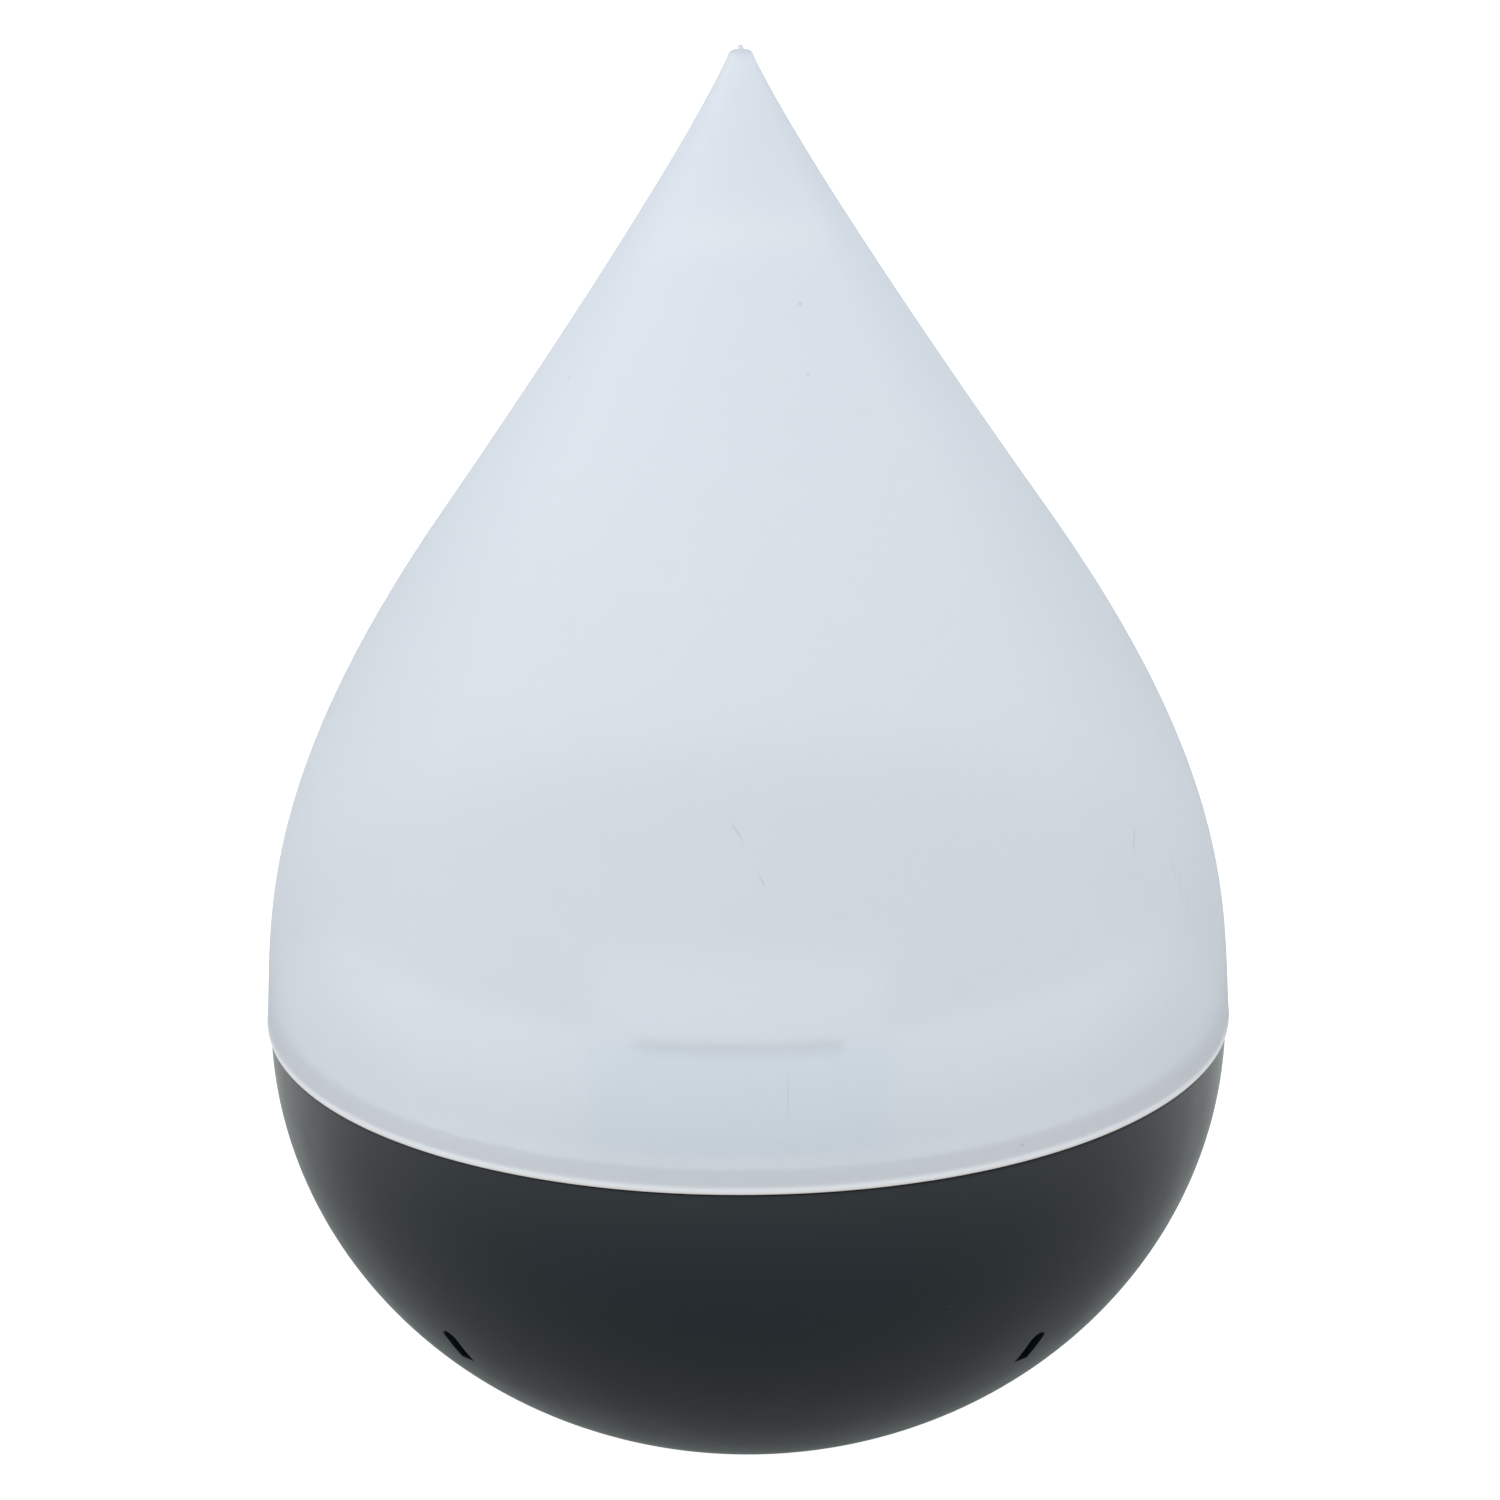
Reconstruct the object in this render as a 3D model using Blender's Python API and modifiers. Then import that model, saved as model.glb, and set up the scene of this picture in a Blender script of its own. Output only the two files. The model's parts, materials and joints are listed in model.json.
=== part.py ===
"""Cool mist humidifier with a teardrop cover: an ultrasonic cover-type unit, modelled as it comes apart.

World units are metres with +Z up. The sizes below are millimetres, and the shape functions turn them into
metres. The origin is on the table under the middle of the bowl, and the front faces -Y. Heights are above
the table. The button, the power socket and the mist outlet are at the back, on the +Y side.
"""

import math

import bmesh
import bpy
from mathutils import Matrix, Vector

MM = 0.001
GAP = 0.3  # clearance between neighbouring pieces

# Driving dimensions
SEAM_Z = 86.0  # plane of the cover's bottom edge
LARGE_STEPS = 32  # sides of the large turned pieces

# Cover
COVER_RIM_R = 100.6
COVER_WALL = 2.0
COVER_SHOULDER = (63.2, 107.1)  # radius and height above the seam where the belly turns into the flank
COVER_TIP_R = 3.1
COVER_TIP_H = 205.2
COVER_TIP_DISC_R = 1.6
COVER_TOP_H = 206.8
GATE_NUB_R = 0.5
GATE_NUB_H = 1.0
COVER_INSIDE_TIP_H = 199.0
OUTLET_H = 160.0  # height of the mist outlet above the seam
OUTLET_WIDTH = 26.0
OUTLET_LENGTH = 14.0
OUTLET_TILT = math.radians(31.5)
OUTLET_AXIS_R = 28.5

# Bowl
BOWL_R = 99.85
BOWL_SEMI_H = 90.4
BOWL_CENTRE_DROP = 0.43
BOWL_WALL = 2.5
BOWL_FLAT_Z = 1.5
BOWL_FLOOR_Z = BOWL_FLAT_Z + BOWL_WALL
LIP_R = 97.5
LIP_INSIDE_R = 95.0
LIP_H = 3.6
SEAT_DROP = 1.8
SEAT_INSIDE_R = 92.0
SLOT_WIDTH = 3.7
SLOT_BOTTOM_Z = 31.5
SLOT_TOP_Z = 39.5
SLOT_ANGLES = (-45, -135, 45, 135)

# Feet and body screws
FOOT_R = 5.5
FOOT_TOP_Z = 2.2
FOOT_CIRCLE_R = 24.0
POST_CIRCLE_R = 24.0
BODY_BOSS_R = 4.6
BODY_BOSS_TOP_Z = 12.0
BODY_HOLE_R = 1.7
COUNTERBORE_R = 3.4
COUNTERBORE_TOP_Z = 7.5
BODY_SCREW_TOP_Z = 24.0

# Reservoir
TANK_FLOOR_Z = 49.5
TANK_INSIDE_Z = 52.0
TANK_TOP_Z = 112.0
TANK_R = 82.0
TANK_INSIDE_R = 79.8
FLANGE_R = LIP_INSIDE_R - GAP
FLANGE_Z = (84.5, 87.0)
POST_TOP_Z = TANK_FLOOR_Z + 1.0  # posts under the tank reach into its floor

# Air duct and its hood
DUCT_HALF_WIDTH = 26.4
DUCT_WALL = 2.2
DUCT_BACK_Y = -37.8
DUCT_TOP_Z = 106.0
DUCT_FRONT_INSIDE_R = 76.8
DUCT_HOLE_R = 16.5
HOOD_HALF_WIDTH = 28.7
HOOD_WALL = 2.0
HOOD_BACK_Y = -35.5
HOOD_BOTTOM_Z = 88.4
HOOD_TOP_Z = 113.6
HOOD_SLOT_HALF_WIDTH = 20.5
HOOD_SLOT_Z = (108.9, 111.1)

# Fan
FAN_Y = -57.0
FAN_SIZE = 40.0
FAN_Z = (39.2, 49.2)
FAN_BORE_R = 18.6
FAN_SCREW_OFFSET = 16.0
ROTOR_R = 17.8
ROTOR_HUB_R = 8.5
FAN_HUB_R = 9.0
ROTOR_Z = (41.0, 48.8)
BLADES = 7
BLADE_PITCH = math.radians(38)
BLADE_CHORD = 8.0
BLADE_THICKNESS = 1.0

# Piezo
PIEZO_HOLE_R = 8.5
PIEZO_SCREW_CIRCLE_R = 15.2
PIEZO_SCREW_ANGLES = (90, 210, 330)
PIEZO_DISC_R = 10.0
PIEZO_SEAT_Z = 47.8  # the seal's step, over the disc
PIEZO_RING_TOP_Z = 46.6  # the seal's lower face, over the retainer
RETAINER_THICKNESS = 1.7

# Float
FLOAT_X = 45.0
FLOAT_Y = 15.0
FLOAT_POST_TOP_Z = 80.0
FLOAT_R = 11.0
FLOAT_BORE_R = 4.1

# Main board
BOARD_SIZE = (56.0, 34.0, 1.6)
BOARD_CENTRE = (0.0, 46.0)
BOARD_Z = 27.0
BOARD_TOP_Z = BOARD_Z + BOARD_SIZE[2]
BOARD_HOLES = ((-24, 33), (24, 33), (-24, 59), (24, 59))

# Power socket
JACK_Z = 38.0
JACK_POCKET_R = 8.5
JACK_POCKET_Y = 78.5
JACK_PLATE_Y = 75.7
JACK_BOSS_R = 10.5
JACK_HOLE_R = 4.3
JACK_THREAD_R = 3.9
JACK_BACK_Y = 66.0
JACK_NUT_R = 6.4
JACK_NUT_H = 2.6

# Button group: sizes along its own axis, which is square to the bowl's wall
BUTTON_Z = 64.0
BUTTON_R = 6.0
BUTTON_FLANGE_R = 7.5
LIGHT_PIPE_UP = 10.5
BUTTON_SCREW_X = 13.0
BUTTON_BOARD_DEPTH = 11.4
BUTTON_BOARD_THICKNESS = 1.6
SWITCH_SIZE = 6.2

CONNECTOR_H = 7.0
LEAD_R = 1.0
SMOOTH_ANGLE = math.radians(32)

parts = None
cutters = None
materials = {}


# ---------------------------------------------------------------- scene and materials


def start_scene():
    global parts, cutters
    for old in list(bpy.data.objects):
        bpy.data.objects.remove(old, do_unlink=True)
    parts = bpy.data.collections.new("cool_mist_humidifier")
    cutters = bpy.data.collections.new("cutters")
    for group in (parts, cutters):
        bpy.context.scene.collection.children.link(group)
    cutters.hide_render = True


def material(name, colour, roughness, metallic=0.0):
    """A Principled material, made once for each name."""
    if name not in materials:
        made = bpy.data.materials.new(name)
        made.use_nodes = True
        shader = made.node_tree.nodes["Principled BSDF"]
        shader.inputs["Base Color"].default_value = (*colour, 1.0)
        shader.inputs["Roughness"].default_value = roughness
        shader.inputs["Metallic"].default_value = metallic
        materials[name] = made
    return materials[name]


def frosted():
    return material("frosted_plastic", (0.72, 0.77, 0.83), 0.45)


def charcoal():
    return material("charcoal_plastic", (0.025, 0.028, 0.03), 0.4)


def tank_plastic():
    return material("tank_plastic", (0.78, 0.76, 0.72), 0.45)


def hood_plastic():
    return material("hood_plastic", (0.45, 0.55, 0.66), 0.4)


def black_plastic():
    return material("black_plastic", (0.02, 0.02, 0.022), 0.5)


def white_plastic():
    return material("white_plastic", (0.8, 0.8, 0.78), 0.4)


def rubber():
    return material("rubber", (0.03, 0.03, 0.03), 0.85)


def steel():
    return material("steel", (0.62, 0.63, 0.65), 0.3, 1.0)


def aluminium():
    return material("aluminium", (0.7, 0.71, 0.72), 0.4, 1.0)


def brass():
    return material("brass", (0.75, 0.58, 0.28), 0.3, 1.0)


def board_green():
    return material("circuit_board", (0.03, 0.16, 0.07), 0.5)


# ---------------------------------------------------------------- shapes


def add_object(name, data, made_of=None, parent=None):
    """Puts an object among the parts, or among the cutters where it has no material."""
    obj = bpy.data.objects.new(name, data)
    if made_of is None:
        cutters.objects.link(obj)
        obj.hide_render = True
        obj.display_type = "WIRE"
    else:
        parts.objects.link(obj)
        data.materials.append(made_of)
    obj.parent = parent
    return obj


def place(obj, x=0.0, y=0.0, z=0.0, tilt_x=0.0, turn_z=0.0):
    obj.location = (x * MM, y * MM, z * MM)
    obj.rotation_euler = (tilt_x, 0.0, turn_z)
    return obj


def mesh_from(name, bm):
    mesh = bpy.data.meshes.new(name)
    bm.to_mesh(mesh)
    bm.free()
    return mesh


def turned(name, profile, made_of=None, steps=24, parent=None):
    """A solid of revolution about Z from (radius, height) points that run down its outer side."""
    bm = bmesh.new()
    points = [bm.verts.new((r * MM, 0.0, z * MM)) for r, z in profile]
    for a, b in zip(points, points[1:]):
        bm.edges.new((a, b))
    if profile[0][0] > 0:
        bm.edges.new((points[-1], points[0]))
    obj = add_object(name, mesh_from(name, bm), made_of, parent)
    screw = obj.modifiers.new("turn", "SCREW")
    screw.angle = math.tau
    screw.steps = screw.render_steps = steps
    screw.use_merge_vertices = True
    screw.merge_threshold = 1e-6
    screw.use_smooth_shade = False
    return obj


def drum(name, radius, z_low, z_high, made_of=None, steps=24, parent=None):
    """A plain cylinder between two heights."""
    bm = bmesh.new()
    middle = Matrix.Translation((0.0, 0.0, (z_low + z_high) / 2 * MM))
    bmesh.ops.create_cone(
        bm, cap_ends=True, segments=steps, radius1=radius * MM, radius2=radius * MM,
        depth=(z_high - z_low) * MM, matrix=middle,
    )
    return add_object(name, mesh_from(name, bm), made_of, parent)


def block(name, low, high, made_of=None, edge=0.0, parent=None):
    """A box between two corners, with its edges rounded where an edge radius is given."""
    bm = bmesh.new()
    bmesh.ops.create_cube(bm, size=1.0)
    size = [(b - a) * MM for a, b in zip(low, high)]
    middle = [(a + b) / 2 * MM for a, b in zip(low, high)]
    bmesh.ops.scale(bm, vec=size, verts=bm.verts)
    bmesh.ops.translate(bm, vec=middle, verts=bm.verts)
    obj = add_object(name, mesh_from(name, bm), made_of, parent)
    if edge:
        bevel = obj.modifiers.new("round", "BEVEL")
        bevel.width = edge * MM
        bevel.segments = 1
    return obj


def upright_pill(name, width, length, depth, steps=8):
    """A stadium-shaped prism along Z, centred on its own origin: width along X, length along Y."""
    bm = bmesh.new()
    radius = length / 2
    for side in (-1, 1):
        middle = Matrix.Translation((side * (width / 2 - radius) * MM, 0.0, 0.0))
        bmesh.ops.create_cone(
            bm, cap_ends=True, segments=2 * steps, radius1=radius * MM, radius2=radius * MM,
            depth=depth * MM, matrix=middle,
        )
    hull = bmesh.ops.convex_hull(bm, input=bm.verts)
    spare = set(hull["geom_interior"]) | set(hull["geom_unused"])
    bmesh.ops.delete(bm, geom=[v for v in spare if isinstance(v, bmesh.types.BMVert)], context="VERTS")
    kept = {f for f in hull["geom"] if isinstance(f, bmesh.types.BMFace)}
    bmesh.ops.delete(bm, geom=[f for f in bm.faces if f not in kept], context="FACES_ONLY")
    bmesh.ops.recalc_face_normals(bm, faces=bm.faces)
    return add_object(name, mesh_from(name, bm))


def flat_outline(name, outline, thickness, made_of):
    """A flat piece in its own XY plane, from a closed outline."""
    curve = bpy.data.curves.new(name, "CURVE")
    curve.dimensions = "2D"
    curve.fill_mode = "BOTH"
    curve.extrude = thickness / 2 * MM
    spline = curve.splines.new("POLY")
    spline.points.add(len(outline) - 1)
    for point, (x, y) in zip(spline.points, outline):
        point.co = (x * MM, y * MM, 0.0, 1.0)
    spline.use_cyclic_u = True
    return add_object(name, curve, made_of)


def boolean(obj, other, operation="DIFFERENCE"):
    mod = obj.modifiers.new(operation.lower(), "BOOLEAN")
    mod.operation = operation
    mod.object = other
    mod.solver = "EXACT"
    return obj


def cut(obj, *tools):
    for tool in tools:
        boolean(obj, tool)
    return obj


def join(obj, *others):
    for other in others:
        boolean(obj, other, "UNION")
    return obj


def around(radius, degrees):
    """The point at an angle on a circle about the Z axis."""
    angle = math.radians(degrees)
    return radius * math.cos(angle), radius * math.sin(angle)


def bezier(start, out, back, end, count):
    """Points on a cubic Bezier curve, without its first one."""
    found = []
    for i in range(1, count + 1):
        t = i / count
        weights = ((1 - t) ** 3, 3 * t * (1 - t) ** 2, 3 * t * t * (1 - t), t ** 3)
        found.append(tuple(sum(w * p[k] for w, p in zip(weights, (start, out, back, end))) for k in (0, 1)))
    return found


def inward_offset(points, distance):
    """The same line moved square to itself, towards the axis of a turned shape."""
    moved = []
    for i, (r, z) in enumerate(points):
        before = points[max(i - 1, 0)]
        after = points[min(i + 1, len(points) - 1)]
        dr, dz = after[0] - before[0], after[1] - before[1]
        length = math.hypot(dr, dz)
        moved.append((r + dz / length * distance, z - dr / length * distance))
    return moved


# ---------------------------------------------------------------- screws


def screw(name, x, y, head_z, shank_top_z, head_r, head_h, shank_r, parent=None):
    """A pan-head screw driven upwards, its head resting at head_z."""
    profile = [
        (0, shank_top_z), (shank_r, shank_top_z - 2 * shank_r), (shank_r, head_z),
        (head_r, head_z), (head_r * 0.85, head_z - head_h), (0, head_z - head_h),
    ]
    return place(turned(name, profile, steel(), 8, parent), x, y)


# ---------------------------------------------------------------- cover


def cover_outline():
    """The cover's outer line from the tip down to the rim, with heights above the seam."""
    tip = (COVER_TIP_R, COVER_TIP_H)
    shoulder = COVER_SHOULDER
    flank = bezier(tip, (13.9, 181.0), (53.6, 121.4), shoulder, 7)
    belly = bezier(shoulder, (103.1, 47.8), (98.9, 21.0), (COVER_RIM_R, 0.5), 10)
    return [tip] + flank + belly


def make_cover():
    outer = cover_outline()
    rim_r = COVER_RIM_R - COVER_WALL
    inner = [(rim_r, 0.4)] + list(reversed(inward_offset(outer, COVER_WALL)[3:-1:2]))
    profile = [(0, COVER_TOP_H + GATE_NUB_H), (GATE_NUB_R, COVER_TOP_H + GATE_NUB_H)]
    profile += [(GATE_NUB_R, COVER_TOP_H), (COVER_TIP_DISC_R, COVER_TOP_H), (2.7, 206.3)]
    profile += outer + [(COVER_RIM_R - 0.4, 0), (rim_r + 0.3, 0)] + inner
    profile += [(0, COVER_INSIDE_TIP_H)]
    cover = place(turned("mist_cover", profile, frosted(), LARGE_STEPS), z=SEAM_Z)
    outlet = upright_pill("cut_mist_outlet", OUTLET_WIDTH, OUTLET_LENGTH, 16.0)
    place(outlet, 0, OUTLET_AXIS_R, SEAM_Z + OUTLET_H, OUTLET_TILT - math.pi / 2)
    cut(cover, outlet)


# ---------------------------------------------------------------- bowl


def bowl_radius(z, inside=False):
    """The bowl's radius at a height above the table, outside or inside its wall."""
    thick = BOWL_WALL if inside else 0.0
    height = z - SEAM_Z + BOWL_CENTRE_DROP
    return (BOWL_R - thick) * math.sqrt(1 - (height / (BOWL_SEMI_H - thick)) ** 2)


def bowl_wall(z_high, z_low, count, inside=False):
    """Points down the bowl's wall, evenly spaced round its curve."""
    semi = BOWL_SEMI_H - (BOWL_WALL if inside else 0.0)
    centre = SEAM_Z - BOWL_CENTRE_DROP
    angle_high = math.asin((centre - z_high) / semi)
    angle_low = math.asin((centre - z_low) / semi)
    found = []
    for i in range(count + 1):
        z = centre - semi * math.sin(angle_high + (angle_low - angle_high) * i / count)
        found.append((bowl_radius(z, inside), z))
    return found


def bowl_cavity():
    """The hollow of the bowl, less the bosses that stand on its wall."""
    seat_z = SEAM_Z - SEAT_DROP
    profile = [(0, SEAM_Z + 20), (LIP_INSIDE_R, SEAM_Z + 20), (LIP_INSIDE_R, seat_z)]
    profile += [(SEAT_INSIDE_R, seat_z), (SEAT_INSIDE_R, seat_z - 3)]
    profile += bowl_wall(seat_z - 11, BOWL_FLOOR_Z, 7, inside=True)
    profile += [(0, BOWL_FLOOR_Z)]
    cavity = turned("cut_bowl_cavity", profile, steps=LARGE_STEPS)
    for i in range(4):
        boss = drum(f"cut_body_boss_{i + 1}", BODY_BOSS_R, 0.0, BODY_BOSS_TOP_Z, steps=16)
        x, y = around(POST_CIRCLE_R, 90 * i)
        cut(cavity, place(boss, x, y))
    jack_boss = drum("cut_jack_boss", JACK_BOSS_R, 0.0, 40.0)
    cut(cavity, place(jack_boss, 0, JACK_PLATE_Y, JACK_Z, -math.pi / 2))
    return cavity


def make_bowl():
    profile = [(0, SEAM_Z + LIP_H), (LIP_R - 0.8, SEAM_Z + LIP_H), (LIP_R, SEAM_Z + LIP_H - 0.8)]
    profile += [(LIP_R, SEAM_Z - GAP), (bowl_radius(SEAM_Z - GAP) - 0.3, SEAM_Z - GAP)]
    profile += bowl_wall(SEAM_Z - GAP - 0.3, BOWL_FLAT_Z, 11)
    profile += [(0, BOWL_FLAT_Z)]
    bowl = turned("base_bowl", profile, charcoal(), LARGE_STEPS)
    cut(bowl, bowl_cavity())
    cut_air_slots(bowl)
    for i in range(4):
        x, y = around(POST_CIRCLE_R, 90 * i)
        bore = drum(f"cut_body_hole_{i + 1}", BODY_HOLE_R, -1.0, BODY_BOSS_TOP_Z + 1, steps=12)
        counterbore = drum(f"cut_counterbore_{i + 1}", COUNTERBORE_R, -1.0, COUNTERBORE_TOP_Z, steps=16)
        x_foot, y_foot = around(FOOT_CIRCLE_R, 45 + 90 * i)
        pocket = drum(f"cut_foot_pocket_{i + 1}", FOOT_R + GAP, -1.0, FOOT_TOP_Z + GAP, steps=16)
        cut(bowl, place(bore, x, y), place(counterbore, x, y), place(pocket, x_foot, y_foot))
    pocket = drum("cut_jack_pocket", JACK_POCKET_R, 0.0, 30.0)
    hole = drum("cut_jack_hole", JACK_HOLE_R, -10.0, 30.0, steps=16)
    cut(bowl, place(pocket, 0, JACK_POCKET_Y, JACK_Z, -math.pi / 2))
    cut(bowl, place(hole, 0, JACK_POCKET_Y, JACK_Z, -math.pi / 2))
    return bowl


def cut_air_slots(bowl):
    """Four arched air slots: a flat bottom and a round top, cut level through the wall."""
    half = SLOT_WIDTH / 2
    for i, degrees in enumerate(SLOT_ANGLES):
        turn = math.radians(degrees)
        x, y = around(85.0, degrees)
        low = block(f"cut_slot_{i + 1}", (-12, -half, SLOT_BOTTOM_Z), (12, half, SLOT_TOP_Z - half))
        place(low, x, y, 0, 0, turn)
        arch = drum(f"cut_slot_arch_{i + 1}", half, -12, 12, steps=16)
        place(arch, x, y, SLOT_TOP_Z - half)
        arch.rotation_euler = (math.pi / 2, 0, turn + math.pi / 2)
        cut(bowl, low, arch)


def make_feet_and_body_screws():
    profile = [(0, FOOT_TOP_Z), (FOOT_R, FOOT_TOP_Z), (FOOT_R, 0.6), (FOOT_R - 0.6, 0), (0, 0)]
    for i in range(4):
        x, y = around(FOOT_CIRCLE_R, 45 + 90 * i)
        place(turned(f"rubber_foot_{i + 1}", profile, rubber(), 16), x, y)
        x, y = around(POST_CIRCLE_R, 90 * i)
        screw(f"body_screw_{i + 1}", x, y, COUNTERBORE_TOP_Z - GAP, BODY_SCREW_TOP_Z, 2.9, 2.0, 1.2)


# ---------------------------------------------------------------- reservoir


def tank_shell():
    profile = [(0, TANK_INSIDE_Z), (74, TANK_INSIDE_Z), (77.5, TANK_INSIDE_Z + 3)]
    profile += [(TANK_INSIDE_R, TANK_TOP_Z), (TANK_R, TANK_TOP_Z)]
    profile += [(81.3, FLANGE_Z[1]), (FLANGE_R, FLANGE_Z[1])]
    profile += [(FLANGE_R, FLANGE_Z[0]), (81.2, FLANGE_Z[0]), (80, 56), (79.4, 51), (78, TANK_FLOOR_Z)]
    profile += [(0, TANK_FLOOR_Z)]
    return turned("reservoir", profile, tank_plastic(), LARGE_STEPS)


def duct_block(name, half_width, back_y, z_low, z_high, radius):
    """An upright prism with a flat back and a front that follows the tank's round wall."""
    disc = drum(name, radius, z_low, z_high, steps=LARGE_STEPS)
    frame = block(name + "_frame", (-half_width, -120, z_low - 1), (half_width, back_y, z_high + 1))
    return boolean(disc, frame, "INTERSECT")


def add_duct(tank):
    """The air duct: walls up from the tank's floor and a round hole over the fan."""
    middle_r = (TANK_R + TANK_INSIDE_R) / 2 - 2.5
    walls = duct_block("cut_duct_walls", DUCT_HALF_WIDTH, DUCT_BACK_Y, POST_TOP_Z, DUCT_TOP_Z, middle_r)
    inside = duct_block(
        "cut_duct_inside", DUCT_HALF_WIDTH - DUCT_WALL, DUCT_BACK_Y - DUCT_WALL,
        TANK_INSIDE_Z, DUCT_TOP_Z + 20, DUCT_FRONT_INSIDE_R,
    )
    join(tank, walls)
    cut(tank, inside)
    hole = place(drum("cut_duct_hole", DUCT_HOLE_R, TANK_FLOOR_Z - 1, TANK_FLOOR_Z + 6, steps=32), 0, FAN_Y)
    cut(tank, hole)
    return tank


def open_duct_front(tank):
    """Takes away the tank's wall in front of the duct, where the hood's apron stands instead."""
    opening = block("cut_hood_opening", (-29, -95, HOOD_BOTTOM_Z - GAP), (29, -60, TANK_TOP_Z + 5))
    kept = drum("cut_hood_opening_keep", 78.6, 80, 120, steps=LARGE_STEPS)
    cut(opening, kept)
    cut(tank, opening)


def fan_screw_places():
    return [(sx * FAN_SCREW_OFFSET, FAN_Y + sy * FAN_SCREW_OFFSET) for sx in (-1, 1) for sy in (-1, 1)]


def add_pillar(tank, name, x, y, radius, z_low, z_high, bore_r, bore_low, bore_high):
    """Adds a round pillar to the tank and drills it from below or above."""
    pillar = place(drum(f"cut_{name}", radius, z_low, z_high, steps=16), x, y)
    bore = place(drum(f"cut_{name}_bore", bore_r, bore_low, bore_high, steps=12), x, y)
    join(tank, pillar)
    cut(tank, bore)


def make_reservoir():
    tank = tank_shell()
    add_duct(tank)
    open_duct_front(tank)
    for i in range(4):
        x, y = around(POST_CIRCLE_R, 90 * i)
        post_low = BODY_BOSS_TOP_Z + GAP
        add_pillar(tank, f"body_post_{i + 1}", x, y, 3.6, post_low, POST_TOP_Z, 1.6, post_low - 1, 26)
    for i, (x, y) in enumerate(fan_screw_places()):
        add_pillar(tank, f"fan_post_{i + 1}", x, y, 3.4, POST_TOP_Z, 58, 1.8, TANK_FLOOR_Z - 1, 56.5)
    for i, (x, y) in enumerate(BOARD_HOLES):
        post_low = BOARD_TOP_Z + GAP
        add_pillar(tank, f"board_post_{i + 1}", x, y, 3.0, post_low, POST_TOP_Z, 1.4, post_low - 1, 38)
    for i, degrees in enumerate(PIEZO_SCREW_ANGLES):
        x, y = around(PIEZO_SCREW_CIRCLE_R, degrees)
        add_pillar(tank, f"piezo_post_{i + 1}", x, y, 2.6, PIEZO_RING_TOP_Z, POST_TOP_Z, 1.2, 45.0, 50.9)
    add_pillar(
        tank, "float_post", FLOAT_X, FLOAT_Y, 3.5, POST_TOP_Z, FLOAT_POST_TOP_Z, 1.8, TANK_FLOOR_Z - 1, 70,
    )
    hole = drum("cut_piezo_hole", PIEZO_HOLE_R, TANK_FLOOR_Z - 1, TANK_INSIDE_Z + 1)
    cut(tank, hole)


def make_hood():
    """The air hood: a cap over the duct with a curved apron and an outlet slot along its top."""
    hood = drum("duct_hood", TANK_R, HOOD_BOTTOM_Z, HOOD_TOP_Z, hood_plastic(), LARGE_STEPS)
    frame = block("cut_hood_frame", (-HOOD_HALF_WIDTH, -120, 60), (HOOD_HALF_WIDTH, HOOD_BACK_Y, 140))
    boolean(hood, frame, "INTERSECT")
    inside = duct_block(
        "cut_hood_inside", HOOD_HALF_WIDTH - HOOD_WALL, HOOD_BACK_Y - HOOD_WALL,
        HOOD_BOTTOM_Z - 5, HOOD_TOP_Z - HOOD_WALL, TANK_R - HOOD_WALL,
    )
    half, (slot_low, slot_high) = HOOD_SLOT_HALF_WIDTH, HOOD_SLOT_Z
    slot = block("cut_hood_slot", (-half, -90, slot_low), (half, -70, slot_high))
    cut(hood, inside, slot)


# ---------------------------------------------------------------- piezo


def make_piezo():
    low, step, high = PIEZO_RING_TOP_Z, PIEZO_SEAT_Z, TANK_FLOOR_Z - GAP
    seal = [(8.8, high), (12.2, high), (12.2, low), (10.5, low), (10.5, step), (8.8, step)]
    turned("piezo_seal", seal, rubber(), 24)
    drum("piezo_disc", PIEZO_DISC_R, low + 0.1, step - GAP, brass(), 24)
    top = low - GAP
    bottom = top - RETAINER_THICKNESS
    ring = [(7.0, top), (18.5, top), (18.5, bottom), (7.0, bottom)]
    retainer = turned("piezo_retainer", ring, aluminium(), 24)
    for i, degrees in enumerate(PIEZO_SCREW_ANGLES):
        x, y = around(PIEZO_SCREW_CIRCLE_R, degrees)
        hole = place(drum(f"cut_retainer_hole_{i + 1}", 1.4, 40, 50, steps=12), x, y)
        cut(retainer, hole)
        screw(f"retainer_screw_{i + 1}", x, y, bottom - GAP, 50.4, 2.0, 1.5, 0.85)


# ---------------------------------------------------------------- float and water sensor


def make_float():
    low = TANK_INSIDE_Z + GAP
    groove_z, top, chamfer = low + 11.0, low + 14.0, 0.8
    body = [
        (FLOAT_BORE_R, groove_z), (7.4, groove_z), (7.4, top),
        (FLOAT_R - chamfer, top), (FLOAT_R, top - chamfer),
        (FLOAT_R, low + chamfer), (FLOAT_R - chamfer, low), (FLOAT_BORE_R, low),
    ]
    place(turned("float", body, white_plastic(), 20), FLOAT_X, FLOAT_Y)
    magnet = [(4.3, top - GAP), (7.1, top - GAP), (7.1, groove_z + GAP), (4.3, groove_z + GAP)]
    place(turned("float_magnet", magnet, black_plastic(), 20), FLOAT_X, FLOAT_Y)
    skirt_z = FLOAT_POST_TOP_Z - 3
    cap = [
        (0, FLOAT_POST_TOP_Z + 2.3), (5.5, FLOAT_POST_TOP_Z + 2.3), (6.5, FLOAT_POST_TOP_Z + 1.3),
        (6.5, skirt_z), (3.9, skirt_z), (3.9, FLOAT_POST_TOP_Z + GAP), (0, FLOAT_POST_TOP_Z + GAP),
    ]
    place(turned("float_cap", cap, white_plastic(), 20), FLOAT_X, FLOAT_Y)
    place(drum("reed_switch", 1.2, 50.5, 64.5, brass(), 12), FLOAT_X, FLOAT_Y)


# ---------------------------------------------------------------- fan


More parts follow.
